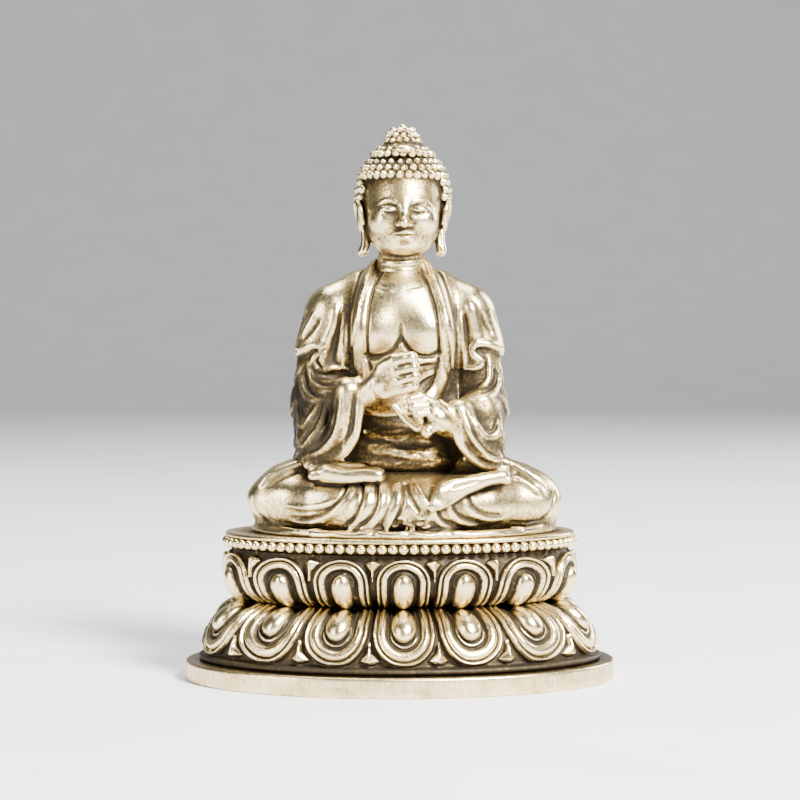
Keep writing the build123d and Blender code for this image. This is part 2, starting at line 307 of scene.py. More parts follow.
    def mesh(self, name):
        """The clay's surface, with how hollow each of its places is at two scales."""
        edge = 3 * self.h
        d = np.clip(self.d, -edge, edge)
        for axis in range(3):  # a closed surface: nothing runs out through the grid's walls
            for end in (0, -1):
                pick = [slice(None)] * 3
                pick[axis] = end
                d[tuple(pick)] = edge
        grid = vdb.FloatGrid(edge)
        grid.copyFromArray(d.astype(np.float32))
        points, quads = grid.convertToQuads()
        full = np.clip(0.5 - self.d / self.h, 0.0, 1.0).astype(np.float32)
        fine = sample(box_blur(full, max(1, round(FINE_REACH / self.h))), 0, 1, points)
        broad = sample(box_blur(full, max(2, round(BROAD_REACH / self.h))), 0, 1, points)
        verts = self.low + points * self.h
        return {"name": name, "verts": verts, "faces": quads[:, ::-1], "fine": fine - 0.5,
            "broad": broad - 0.5}


# ------------------------------------------------------------------ throne
PETAL_ANGLES = (0, 20, 43, 74, 106, 137, 160, 180)  # degrees round the oval, from the front
COLUMNS_PER_PETAL = 68
LATHE_SPACING = 0.5
BEAD_COUNT = 88
WIDEST = 0.62  # how far along its length a petal's bulb is widest
FINE_RELIEF, BROAD_RELIEF = 0.45, 1.3  # heights over the ground round about that count as fully raised


def oval(a, angle):
    """Points of a ring of half width a at angles in radians from the front."""
    return a * np.sin(angle), -(a - INSET) * np.cos(angle)


def petal_columns():
    """Angles round the oval, and for each its place across its petal, from -1 to 1."""
    right = list(PETAL_ANGLES)
    centres = np.radians(right + [360 - a for a in right[-2:0:-1]])
    n = len(centres)
    after = [*centres[1:], centres[0] + 2 * math.pi]
    walls = [(here + following) / 2 for here, following in zip(centres, after)]
    angles, across = [], []
    for i in range(n):
        low = walls[i - 1] - (2 * math.pi if i == 0 else 0)
        t = np.linspace(low, walls[i], COLUMNS_PER_PETAL, endpoint=False)
        angles.append(t)
        off = t - centres[i]
        across.append(np.where(t < centres[i], off / (centres[i] - low), off / (walls[i] - centres[i])))
    return np.concatenate(angles), np.concatenate(across)


# How high a petal stands, from its stem outwards: a groove round the bulb, a lip, a band and the rim.
PETAL_SECTION = [
    (0.28, 0.28), (0.36, 0.20), (0.40, 0.50), (0.43, 0.66), (0.46, 0.46), (0.50, 0.22), (0.55, 0.52), (0.64,
        0.84),
    (0.74, 0.90), (0.81, 0.74), (0.85, 0.46), (0.875, 0.50), (0.91, 0.92), (0.955, 0.94), (0.985,
        0.55), (1.02, 0.0),
]


def petal_relief(across, along, half_width, *, length, width_share, leaf_size, bulb_width, point, root,
        flat):
    """The height of a ring of petals over its ground, in millimetres.

    across runs from -1 to 1 over each petal's cell and along from the root, in millimetres. A petal's
    lines are set out by one measure, how far out from its stem a place is, as a share of its width."""
    reach = half_width * width_share
    x = across * half_width
    tip_row = np.argmin(np.abs(along.ravel() - WIDEST * length))
    round_at = length - reach[tip_row] / flat
    past = np.maximum(along - round_at, 0.0) * flat
    out = np.sqrt(x**2 + past**2) / reach
    places, heights = zip(*PETAL_SECTION)
    height = np.interp(out, places, heights)
    height = height * smooth(0.25 * root, 1.1 * root, along)
    start, end = 1.1 * root, round_at + 0.33 * reach[tip_row]
    t = np.clip((along - start) / (end - start), 0, 1)
    front = np.sqrt(np.clip(1 - ((t - WIDEST) / (1 - WIDEST)) ** 2, 0, 1))
    back = np.clip(1 - ((WIDEST - t) / WIDEST) ** 2, 0, 1) ** point
    share = np.where(t > WIDEST, front, back)
    wide = np.maximum(bulb_width * share, 1e-4)
    bulb = np.sqrt(np.clip(1 - (x / wide) ** 2, 0, 1)) * share**0.6
    height = np.maximum(height, (0.25 + 1.35 * bulb) * (bulb > 0))
    from_wall = (1 - np.abs(across)) * half_width
    tip = length - along
    leaf_wide = leaf_size * np.interp(tip, (-0.1, 0.45, 0.9, 1.3, 1.8, 2.4), (0.2, 1, 0.66, 0.28, 0.14, 0))
    leaf = np.clip(1 - from_wall / np.maximum(leaf_wide, 1e-3), 0, 1) * (leaf_wide > 0.02)
    return np.maximum(height, 0.25 * (leaf > 0) + 0.75 * leaf**0.8 * smooth(-0.05, 0.3, tip))


def petal_ring(name, profile, hidden, **style):
    """A closed ring: petals along a profile of (half width, height) points, then the hidden walls."""
    angle, across = petal_columns()
    shown = spline(profile, 0.1)
    step = np.concatenate([[0], np.cumsum(np.linalg.norm(np.diff(shown, axis=0), axis=1))])
    rows = np.vstack([shown, hidden])
    a, z = rows[:, :1], rows[:, 1:]
    x, y = oval(a, angle[None, :])
    base = np.dstack([x, y, np.broadcast_to(z, x.shape)])
    along_u = np.roll(base, -1, 1) - np.roll(base, 1, 1)
    along_v = np.gradient(base, axis=0)
    normal = np.cross(along_u, along_v)
    normal /= np.maximum(np.linalg.norm(normal, axis=2, keepdims=True), 1e-9)
    half_pitch = np.linalg.norm(along_u, axis=2) * COLUMNS_PER_PETAL / 4
    height = np.zeros(x.shape)
    n = len(shown)
    height[:n] = petal_relief(np.broadcast_to(across, (n, len(across))), step[:, None], half_pitch[:n],
        **style)
    outward = normal[n // 2, 0] @ np.array([0, -1, 0])
    verts = base + normal * height[:, :, None] * (1 if outward > 0 else -1)
    made = grid_mesh(name, verts, height, closed=True)
    ground = 0.16 * (1 - smooth(0.05, 0.45, height))
    # Near each petal's root, at the waist, the ground is painted darker still: painted shade where the tiers
    # curve under each other.
    ground[:n] += 0.5 * (1 - smooth(0.5 * style["root"], 1.3 * style["root"], step))[:, None]
    made["broad"] = np.clip(made["broad"] + ground.ravel(), -0.5, 0.5)
    return made


def blur_2d(a, cells, wrap):
    """The same mean over a flat grid that closes on itself across, and along too where wrap is set."""
    for _ in range(2):
        for axis in (0, 1):
            mode = "wrap" if axis == 1 or wrap else "edge"
            pad = [(cells + 1, cells) if i == axis else (0, 0) for i in (0, 1)]
            total = np.cumsum(np.pad(a, pad, mode=mode), axis=axis)
            n = a.shape[axis]
            a = np.take(total, np.arange(2 * cells + 1, 2 * cells + 1 + n), axis) - np.take(total,
                np.arange(n), axis)
            a = a / (2 * cells + 1)
    return a


def grid_mesh(name, verts, height, closed):
    """A mesh from rows of points round the oval. The rows close on each other, or both ends are points."""
    rows, columns = verts.shape[:2]
    i = np.arange(rows if closed else rows - 1)[:, None]
    j = np.arange(columns)[None, :]
    k = (i + 1) % rows
    m = (j + 1) % columns
    faces = np.dstack([i * columns + j, i * columns + m, k * columns + m, k * columns + j]).reshape(-1, 4)
    cell = 3
    fine = np.clip((blur_2d(height, cell - 1, closed) - height) / FINE_RELIEF, -0.5, 0.5)
    broad = np.clip((blur_2d(height, cell * 4, closed) - height) / BROAD_RELIEF, -0.5, 0.5)
    return {"name": name, "verts": verts.reshape(-1, 3), "faces": faces, "fine": fine.ravel(),
        "broad": broad.ravel()}


def lower_tier():
    """The petals that hang down from the waist, and the thin ledge at their tips."""
    low, high = millimetres("lower_lotus_tier")
    foot, waist = low[2], high[2]
    profile = [(16.3, waist - 0.05), (16.9, 8.75), (18.6, 8.3), (20.6, 7.3), (21.8, 5.8), (22.3, 4.4),
        (22.5, 3.25)]
    ledge = [(22.9, 3.08), (23.35, 3.02), (23.6, 2.9), (23.68, 2.7), (23.6, 2.5), (23.3, foot + 0.05)]
    wall = [(22.6, foot), (19, foot), (15.5, foot), (15.5, 5), (15.5, 8), (15.5, waist), (15.8, waist)]
    style = {"length": 9.2, "width_share": 0.93, "leaf_size": 1.2, "bulb_width": 1.5, "point": 0.7,
        "root": 2.0, "flat": 1.0}
    return petal_ring("lower_lotus_petals", profile, ledge + wall, **style)


def upper_tier():
    """The petals that stand up from the waist, painted a little darker than the rest: painted shade under
    the slab's overhang.
    """
    low, high = millimetres("upper_lotus_tier")
    waist = millimetres("lower_lotus_tier")[1][2]
    top = high[2]
    profile = [(16.3, waist + 0.05), (16.9, 9.8), (18.0, 10.2), (19.1, 10.9), (19.8, 12.2), (19.85, 13.8),
        (19.5, 15.42)]
    rim = [(19.35, 15.5), (19.2, top - 0.03), (18.9, top)]
    wall = [(17, top), (14.4, top), (14.2, 13), (14.2, 10), (14.2, low[2]), (15.4, low[2]), (15.4, waist),
        (15.9, waist)]
    style = {"length": 7.5, "width_share": 0.88, "leaf_size": 1.0, "bulb_width": 1.3, "point": 0.42,
        "root": 1.75, "flat": 1.22}
    ring = petal_ring("upper_lotus_petals", profile, rim + wall, **style)
    # Painted shade: the whole upper ring is painted darker, as the slab above shades it.
    ring["broad"] = ring["broad"] + 0.2
    return ring


def lathe(name, profile, columns):
    """A solid closed at the centre, from points of (share of the way out, half width, height)."""
    p = np.array(profile, float)
    runs = [p[:1]]
    for i in range(len(p) - 1):
        n = max(1, int(np.linalg.norm((p[i + 1] - p[i]) * (20, 1, 1)) / LATHE_SPACING))
        runs.append(p[i] + (p[i + 1] - p[i]) * np.linspace(0, 1, n + 1)[1:, None])
    rows = np.vstack(runs)
    angle = np.linspace(0, 2 * math.pi, columns, endpoint=False)
    share, a, z = rows[:, :1], rows[:, 1:2], rows[:, 2:]
    x, y = oval(a, angle[None, :])
    verts = np.dstack([x * share, y * share, np.broadcast_to(z, x.shape)])
    return grid_mesh(name, verts, np.zeros(x.shape), closed=False)


def foot_edge():
    """The foot plate: a brushed vertical edge, its corners eased, and a flat top."""
    a, _, top = millimetres("foot_plate")[1]
    ease, bottom_ease = 0.35, 0.2
    recess, shelf = 0.92, 1.2  # the sealing plate's seat: its height, and the width of the ledge over it
    inner = millimetres("sealing_plate")[1][0] + 0.1
    outer = [(a - bottom_ease + bottom_ease * math.sin(t),
        bottom_ease * (1 - math.cos(t))) for t in np.linspace(0, math.pi / 2, 5)]
    outer += [(a, top * f) for f in (0.25, 0.4, 0.55, 0.7)]
    outer += [(a - ease * (1 - math.cos(t)), top - ease * (1 - math.sin(t))) for t in np.linspace(0,
        math.pi / 2, 7)]
    rim = [(a - f, top) for f in (0.6, 0.9, 1.2, 1.5, 1.8, 2.2, 3.0)]
    inside = [(inner - shelf, top), (inner - shelf, recess), (inner, recess), (inner, 0.0)]
    inside += [(inner + 1.5, 0.0), (a - 1.0, 0.0)]
    rows = np.array(outer + rim + inside)
    angle = np.linspace(0, 2 * math.pi, 480, endpoint=False)
    x, y = oval(rows[:, :1], angle[None, :])
    verts = np.dstack([x, y, np.broadcast_to(rows[:, 1:], x.shape)])
    return grid_mesh("foot_plate_edge", verts, np.zeros(x.shape), closed=True)


def slab():
    """The seat slab: a spigot, a dark groove for the beads, a thin lip with eased corners and a flat top."""
    low, high = millimetres("seat_slab")
    a, top, foot = high[0] - 0.1, high[2], millimetres("upper_lotus_tier")[1][2]
    groove = a - 0.95
    lip = 16.78
    points = [(0.0, 8, low[2]), (1.0, 14.0, low[2]), (1.0, 14.0, foot), (1.0, groove - 0.1, foot),
        (1.0, groove, foot + 0.1)]
    points += [(1.0, groove, lip - 0.1), (1.0, groove + 0.1, lip), (1.0, a - 0.12, lip),
        (1.0, a - 0.02, lip + 0.08)]
    points += [(1.0, a, lip + 0.2), (1.0, a - 0.04, top - 0.12), (1.0, a - 0.2, top), (1.0, a - 1.2, top),
        (1.0, 8, top), (0.0, 8, top)]
    return lathe("seat_slab_body", points, 420)


def beads():
    """The beaded border: balls a little uneven, as cast, run together with the strip behind them."""
    low, high = millimetres("bead_band")
    r = (high[2] - low[2]) / 2
    a = high[0] - r
    z = (low[2] + high[2]) / 2
    uneven, flattened = 0.03, (1.04, 1.04, 1.0)
    rng = np.random.default_rng(7)
    dense = np.linspace(0, 2 * math.pi, 4001)
    x, y = oval(a, dense)
    run = np.concatenate([[0], np.cumsum(np.hypot(np.diff(x), np.diff(y)))])
    angle = np.interp(np.arange(BEAD_COUNT) * run[-1] / BEAD_COUNT, run, dense)
    rings, sides = ((14, 22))
    polar = np.linspace(0, math.pi, rings + 1)[:, None]
    round_ = np.linspace(0, 2 * math.pi, sides, endpoint=False)[None, :]
    verts, faces, fine, broad = [], [], [], []
    for t in angle:
        size = r * (1 + rng.uniform(-uneven, uneven, 3)) * flattened
        n = np.array([math.sin(t) / a, -math.cos(t) / (a - INSET), 0])
        n /= np.linalg.norm(n)
        side = np.array([-n[1], n[0], 0])
        sx, sy = np.sin(polar) * np.cos(round_), np.sin(polar) * np.sin(round_)
        sz = np.cos(polar) * np.ones_like(round_)
        p = sx[..., None] * side * size[0] + sy[..., None] * n * size[1] + sz[...,
            None] * np.array([0, 0, size[2]])
        centre = np.array([*oval(a - 0.02, t), z])
        start = sum(len(v) for v in verts)
        verts.append((p + centre).reshape(-1, 3))
        i, j = np.arange(rings)[:, None], np.arange(sides)[None, :]
        m = (j + 1) % sides
        faces.append(np.dstack([i * sides + j, (i + 1) * sides + j, (i + 1) * sides + m,
            i * sides + m]).reshape(-1, 4) + start)
        out = sy.ravel()
        fine.append(np.clip(-0.28 - 0.1 * out + 0.9 * smooth(0.75, 1.0, np.abs(sx.ravel())), -0.5, 0.5))
        broad.append(np.clip(-0.12 - 0.35 * out, -0.5, 0.5))
    band = {"name": "border_beads", "verts": np.vstack(verts), "faces": np.vstack(faces)}
    band["fine"], band["broad"] = np.concatenate(fine), np.concatenate(broad)
    return band


# ------------------------------------------------------------------ materials
def node(tree, kind, **inputs):
    """A new node with its settings."""
    made = tree.nodes.new(kind)
    for name, value in inputs.items():
        setattr(made, name, value)
    return made


def wire(tree, source, target):
    """Joins two sockets."""
    tree.links.new(source, target)


def value_of(tree, operation, a, b=None, c=None, clamp=False):
    """A Math node; each input is a number or a socket."""
    made = node(tree, "ShaderNodeMath", operation=operation, use_clamp=clamp)
    for socket, value in zip(made.inputs, (a, b, c)):
        if value is None:
            continue
        if isinstance(value, (int, float)):
            socket.default_value = value
        else:
            wire(tree, value, socket)
    return made.outputs[0]


def times_plus(tree, a, b, c):
    """a * b + c."""
    return value_of(tree, "MULTIPLY_ADD", a, b, c)


def noise(tree, scale, detail, roughness, stretch=None):
    """A noise texture in object space, with its scale in bumps per metre."""
    where = node(tree, "ShaderNodeTexCoord").outputs["Object"]
    if stretch:
        mapping = node(tree, "ShaderNodeMapping")
        mapping.inputs["Scale"].default_value = stretch
        wire(tree, where, mapping.inputs["Vector"])
        where = mapping.outputs[0]
    made = node(tree, "ShaderNodeTexNoise")
    made.inputs["Scale"].default_value = scale
    made.inputs["Detail"].default_value = detail
    made.inputs["Roughness"].default_value = roughness
    wire(tree, where, made.inputs["Vector"])
    return made.outputs["Fac"]


def attribute(tree, name):
    """A number kept on the mesh."""
    return node(tree, "ShaderNodeAttribute", attribute_name=name).outputs["Fac"]


def ramp(tree, factor, stops):
    """A colour for each factor, between stops of (place, colour)."""
    made = node(tree, "ShaderNodeValToRGB")
    made.color_ramp.elements.remove(made.color_ramp.elements[1])
    for i, (place, colour) in enumerate(stops):
        element = made.color_ramp.elements[0] if i == 0 else made.color_ramp.elements.new(place)
        element.position = place
        element.color = (*colour, 1)
    wire(tree, factor, made.inputs[0])
    return made.outputs[0]


def new_material(name):
    """A material with its node tree and its shader."""
    material = bpy.data.materials.new(name)
    material.use_nodes = True
    tree = material.node_tree
    shader = next(n for n in tree.nodes if n.type == "BSDF_PRINCIPLED")
    return material, tree, shader


def smoothed(tree, value, low, high):
    """A smooth step from 0 at low to 1 at high."""
    made = node(tree, "ShaderNodeMapRange", interpolation_type="SMOOTHSTEP")
    wire(tree, value, made.inputs["Value"])
    made.inputs["From Min"].default_value = low
    made.inputs["From Max"].default_value = high
    return made.outputs[0]


def cast_grain(tree, shader, height, strength, distance):
    """Fine relief over the sculpted one; distance is in metres."""
    made = node(tree, "ShaderNodeBump")
    made.inputs["Strength"].default_value = strength
    made.inputs["Distance"].default_value = distance
    wire(tree, height, made.inputs["Height"])
    wire(tree, made.outputs[0], shader.inputs["Normal"])


def bare_metal(tree, shader, colour, rough):
    """Metal all through, with its colour and roughness from sockets."""
    wire(tree, colour, shader.inputs["Base Color"])
    shader.inputs["Metallic"].default_value = 1.0
    wire(tree, rough, shader.inputs["Roughness"])


def antique_brass():
    """Cast brass under a dark patina, rubbed through to pale metal wherever a cloth reaches, plus the
    painted shade and painted light that some pieces carry in their broad attribute.
    """
    material, tree, shader = new_material("antique_brass")
    fine, broad, deep = (attribute(tree, n) for n in ("fine", "broad", "deep"))
    patches = noise(tree, 330, 6, 0.7)
    speckle = noise(tree, 2400, 4, 0.75)
    grain = noise(tree, 5200, 3, 0.6)
    hollow = value_of(tree, "MULTIPLY", fine, 2.0)
    # broad also carries painted shade and painted light laid on some pieces, and the darkness below follows
    # it
    hollow = times_plus(tree, broad, 2.4, hollow)
    hollow = times_plus(tree, deep, 2.2, hollow)
    hollow = value_of(tree, "MINIMUM", hollow, 0.5)
    hollow = times_plus(tree, patches, 0.7, hollow)
    hollow = times_plus(tree, smoothed(tree, speckle, 0.34, 0.66), 0.4, hollow)
    hollow = times_plus(tree, grain, 0.4, hollow)
    worn_off = 0.31  # patina that is rubbed away everywhere
    darkness = value_of(tree, "ADD", hollow, -worn_off, clamp=True)
    colour = ramp(
        tree,
        darkness,
        [
            (0.0, (0.90, 0.72, 0.37)),
            (0.2, (0.66, 0.51, 0.235)),
            (0.38, (0.34, 0.25, 0.1)),
            (0.58, (0.115, 0.08, 0.034)),
            (0.9, (0.03, 0.023, 0.014)),
        ],
    )
    wire(tree, colour, shader.inputs["Base Color"])
    metal = times_plus(tree, smoothed(tree, darkness, 0.6, 1.0), -0.25, 1.0)
    wire(tree, metal, shader.inputs["Metallic"])
    shader.inputs["Specular IOR Level"].default_value = 0.2
    rough = times_plus(tree, darkness, 0.34, 0.17)
    rough = times_plus(tree, speckle, 0.12, rough)
    wire(tree, rough, shader.inputs["Roughness"])
    cast_grain(tree, shader, times_plus(tree, grain, 0.5, speckle), 0.5, 0.00007)
    return material


def brushed_rim():
    """The foot plate's brass: upright brush marks on the bright edge, patina on the flat top."""
    material, tree, shader = new_material("bright_rim_brass")
    brush = noise(tree, 1100, 5, 0.8, stretch=(3.0, 3.0, 0.45))
    stain = noise(tree, 420, 5, 0.65)
    speckle = smoothed(tree, noise(tree, 2600, 4, 0.8), 0.36, 0.64)
    up = node(tree, "ShaderNodeSeparateXYZ")
    wire(tree, node(tree, "ShaderNodeNewGeometry").outputs["Normal"], up.inputs[0])
    top = smoothed(tree, up.outputs["Z"], 0.55, 0.95)
    darkness = times_plus(tree, top, 0.42, value_of(tree, "MULTIPLY", stain, 0.95))
    darkness = times_plus(tree, brush, 0.5, darkness)
    darkness = times_plus(tree, speckle, 0.16, darkness)
    darkness = times_plus(tree, attribute(tree, "deep"), 0.8, darkness)
    polished_off = 0.46
    darkness = value_of(tree, "ADD", darkness, -polished_off, clamp=True)
    colour = ramp(tree, darkness, [(0.0, (0.92, 0.77, 0.45)), (0.28, (0.68, 0.53, 0.25)),
        (0.55, (0.30, 0.22, 0.1)), (1.0, (0.06, 0.045, 0.025))])
    bare_metal(tree, shader, colour, times_plus(tree, brush, 0.25, 0.16))
    cast_grain(tree, shader, brush, 0.4, 0.00006)
    return material


def sheet_brass():
    """Rolled brass with faint straight mill lines."""
    material, tree, shader = new_material("brass_sheet")
    lines = noise(tree, 500, 3, 0.6, stretch=(0.1, 6.0, 1.0))
    colour = ramp(tree, lines, [(0.3, (0.62, 0.48, 0.25)), (0.7, (0.8, 0.66, 0.38))])
    bare_metal(tree, shader, colour, times_plus(tree, lines, 0.2, 0.3))
    return material


def turned_steel():
    """Plain turned steel, a little dull."""
    material, tree, shader = new_material("screw_steel")
    turning = noise(tree, 1500, 2, 0.5, stretch=(1.0, 1.0, 5.0))
    colour = ramp(tree, turning, [(0.3, (0.42, 0.42, 0.43)), (0.7, (0.66, 0.66, 0.67))])
    bare_metal(tree, shader, colour, times_plus(tree, turning, 0.25, 0.25))
    return material


# ------------------------------------------------------------------ figure
# Right and left are the figure's own: its right is at -X. Drawings are in the front view's (x, z),
# the back view's (x, z) or the side views' (y, z), in millimetres.
SEAT = millimetres("seat_slab")[1][2]
BODY_VOXEL = 0.15
HEAD_VOXEL = 0.1
HAND_VOXEL = 0.085
HEM_END = 0.12  # the share of a rolled hem over which each end thins out
HAIRLINE = 58.4
NECK_FOOT = 47.2
SEAM = 6.9  # the sleeves part from the torso this far from the middle
HEAD_SHIFT = 0.35  # the head sits this far to the figure's left


def beside(points, distance):
    """A line drawn at a distance to the left of another, as it runs."""
    p = spline(points, 0.6)
    run = np.gradient(p, axis=0)
    run /= np.maximum(np.linalg.norm(run, axis=1, keepdims=True), 1e-9)
    return p + distance * np.column_stack([-run[:, 1], run[:, 0]])


def groove(clay, points, width=0.5, depth=0.45, view="front", taper=(0.25, 0.25), sharp=1.3):
    clay.stroke(view, points, width, -depth, sharp, taper)


def ridge(clay, points, width=0.6, height=0.4, view="front", taper=(0.25, 0.25), sharp=1):
    clay.stroke(view, points, width, height, sharp, taper)


def fold(clay, points, width=0.7, height=0.35, view="front", side=1, taper=(0.25, 0.25)):
    """A fold of cloth: a soft ridge with a sharp groove beside it.

    The groove is on the left of the line as it runs (side 1) or on its right (side -1)."""
    ridge(clay, points, width, height, view, taper)
    groove(clay, beside(points, side * width * 0.75), width * 0.55, height * 1.1, view, taper)


def roll(clay, points, radius, view="front", lift=0.1, k=0.15):
    """A rolled hem that stands on the surface."""
    path = clay.laid(view, spline(points, 0.3), lift)
    start, end = np.linspace(0, 1, len(path)), np.linspace(1, 0, len(path))
    ends = smooth(0, HEM_END, start) * smooth(0, HEM_END, end)
    clay.rod(path, radius * (0.55 + 0.45 * ends), k)


def toes(clay, first, step, forward):
    """Four rounded toes side by side, each a little smaller than the one before."""
    first, step, forward = np.array(first), np.array(step), np.array(forward)
    for i, radius in enumerate((0.48, 0.4, 0.36, 0.33)):
        tip = first + step * i
        clay.rod([tip - forward, tip], (radius * 0.85, radius), k=0.06)


def legs_clay():
    """Legs folded in the full lotus under the robe, its hem spread on the seat, both soles up."""
    clay = Clay((-19.6, -14.4, SEAT - 0.6), (20.4, 13.6, 28.2), BODY_VOXEL)
    clay.ball((0.2, 1.4, 20.4), (14.5, 10.6, 4), k=1)
    for side, knee_x in ((-1, 13.4), (1, 14.9)):
        knee = (side * knee_x, -1.9, 20.5)
        drape = [(side * 16.2, -2.6, 21.4), (side * 13.6, -2.4, 23.6), (side * 10.6, -2.4, 25),
            (side * 7, -2, 25.2)]
        shin = [knee, (side * 9, -5.6, 20.6), (side * 3.6, -8.4, 20.3)]
        thigh = [knee, (side * 11, 2, 21.2), (side * 6.5, 5.2, 21.2)]
        clay.rod(shin, (3.35, 3.5, 3.2), k=1.6)
        clay.rod(thigh, (3.35, 3.9, 3.9), k=2)
        clay.rod(drape, (1.2, 1.5, 1.6, 1.4), k=2.5)
    clay.ball((0.4, -6.6, 20.6), (7, 5, 3.5), k=1.5)
    clay.ball((0.2, 0.4, 21.6), (10.5, 8.2, 3.5), k=1.5)
    skirt = [(17.2 * math.sin(t) + 0.4, -11.6 * math.cos(t) - 0.2, SEAT + 0.25) for t in np.linspace(0,
        2 * math.pi, 60)]
    clay.rod(skirt, 0.62, k=1.2)
    # right leg, on the viewer's left
    ridge(clay, [(-15.8, 21.6), (-13, 22.6), (-9.5, 22.7), (-7, 23.4)], 2, 0.25)
    fold(clay, [(-5.4, 23.7), (-6.3, 21.9), (-8, 20.1), (-10.3, 19), (-13.6, 18.8)], 0.75, 0.42, side=-1,
        taper=(0.05, 0.3))
    fold(clay, [(-6.6, 23), (-7.8, 21.5), (-9.6, 20.8), (-11.8, 20.6), (-13.9, 21)], 0.6, 0.26, side=1)
    fold(clay, [(-3.8, 23.7), (-4.1, 21.6), (-5.2, 19.2), (-6.4, 18.2)], 0.8, 0.45, side=-1,
        taper=(0.02, 0.15))
    fold(clay, [(-2.3, 23.7), (-2.4, 21.6), (-2.9, 20), (-3.9, 18.8), (-5.4, 18.1)], 0.75, 0.48, side=-1,
        taper=(0.02, 0.15))
    fold(clay, [(-0.5, 23.6), (-0.7, 21.4), (-1.6, 19.2), (-2.2, 18.3)], 0.8, 0.45, side=1,
        taper=(0.02, 0.15))
    groove(clay, [(-17.4, 22), (-16.6, 19.6), (-14.9, 18.4)], 0.45, 0.25)
    # left leg, on the viewer's right
    fold(clay, [(6.6, 22.8), (7.1, 21.2), (8.1, 20.1), (10, 19.3), (12.4, 19.3)], 0.75, 0.45, side=1,
        taper=(0.05, 0.35))
    fold(clay, [(4.9, 21.8), (5.4, 20.4), (6.5, 19.3), (9, 18.2)], 0.7, 0.45, side=1, taper=(0.05, 0.25))
    fold(clay, [(3.3, 20.9), (3.7, 19.8), (4.6, 18.9), (6.2, 18.2)], 0.6, 0.4, side=1, taper=(0.05, 0.25))
    ridge(clay, [(1, 24), (1.7, 22.4), (2.7, 20.6)], 0.42, 0.55, taper=(0.05, 0.1), sharp=0.7)
    groove(clay, [(0.4, 23.6), (0.9, 22), (1.9, 20.2)], 0.45, 0.5, taper=(0.1, 0.1))
    groove(clay, [(17.9, 22.6), (17.3, 20), (15.6, 18.5)], 0.45, 0.25)
    # gathered cloth under the crossing, and the hem on the seat
    rng = np.random.default_rng(3)
    for _ in range(22):
        x, z = rng.uniform(-1.4, 3.2), rng.uniform(18.3, 20)
        across, rise = rng.uniform(-0.7, 0.7), rng.uniform(-0.5, 0.5)
        ridge(clay, [(x - across, z - rise), (x + 0.1, z), (x + across, z + rise)], rng.uniform(0.22, 0.36),
            rng.uniform(0.15, 0.35))
    for x0, x1, z in ((-14.5, -8.6, 18), (-9, -3.2, 17.75), (-3.4, 0.6, 17.9), (0.4, 5.2, 17.8),
            (5, 12, 17.85), (11.8, 16.6, 18.1)):
        mid = (x0 + x1) / 2
        ridge(clay, [(x0, z + 0.2), (mid, z - 0.12), (x1, z + 0.2)], 0.5, 0.36, taper=(0.2, 0.2))
        groove(clay, [(x0 + 0.3, z + 0.85), (mid, z + 0.5), (x1 - 0.3, z + 0.85)], 0.35, 0.22)
    # the back: the robe spreads behind in flat folds
    for side in (-1, 1):
        for i, x in enumerate((2, 4.6, 7.6, 11)):
            line = [(side * x * 0.55, 24.2), (side * x * 0.85, 21.4), (side * x * 1.08, 18.4)]
            fold(clay, line, 0.95, 0.4, view="back", side=side)
        fold(clay, [(side * 17, 22.2), (side * 14, 20.6), (side * 9.5, 19.6)], 0.8, 0.32, view="back",
            side=side)
    for i in range(9):
        x = -14 + 3.5 * i
        ridge(clay, [(x - 1.7, 18.05), (x, 17.75), (x + 1.7, 18.05)], 0.5, 0.3, view="back")
    # feet: the figure's left foot lies on its right thigh, the right foot comes up across the left
    clay.rod([(-3, -9.3, 24.3), (-4.2, -9.2, 24.4), (-6.2, -8.9, 24.25), (-8.4, -8.5, 24.6)],
        (1.05, 0.95, 0.82, 1), k=0.25)
    clay.ball((-8.9, -8.2, 24.75), (1.3, 1.1, 0.8), k=0.4)
    clay.rod([(-5, -6.8, 24.4), (-8.6, -6.6, 24.9)], (1.3, 1.1), k=0.5)
    sole = [(-2.1, 24.9), (-2.2, 23.8), (-4.4, 23.6), (-7, 23.3), (-9.6, 23.4), (-10.7, 23.9),
        (-10.6, 24.9), (-8.6, 25.3), (-6.4, 24.9), (-4.2, 25.2)]
    clay.patch(sole, 0.3, 0.35, (-14, -5))
    toes(clay, (-10.3, -9.1, 24.3), (-0.05, 0.72, 0.3), (-0.9, 0.1, 0))
    clay.rod([(4.2, -10.2, 22.2), (5.6, -9.9, 22.9), (7.4, -9.4, 23.4), (9.4, -8.8, 23.8),
        (11.2, -8.1, 24)], (1.2, 1.1, 0.95, 0.8, 0.75), k=0.3)
    sole = [(2.9, 20.9), (3.2, 22.2), (4.2, 23.6), (5.6, 24.1), (7.6, 24.2), (10, 24.6), (12.3, 24.8),
        (12.4, 23.7), (9.8, 23.2), (7.6, 22.3), (5.6, 21.2), (4, 20.5)]
    clay.patch(sole, 0.62, 0.3, (-14, -5))
    groove(clay, [(5.2, 22.9), (7, 23.4), (9, 23.9)], 0.6, 0.14)
    toes(clay, (12, -8.9, 23.75), (0, 0.62, 0.3), (0.9, 0.1, -0.1))
    roll(clay, [(1.5, 23.5), (2, 22.4), (2.6, 21.3), (3.3, 20.5)], 0.32, lift=0.1, k=0.15)
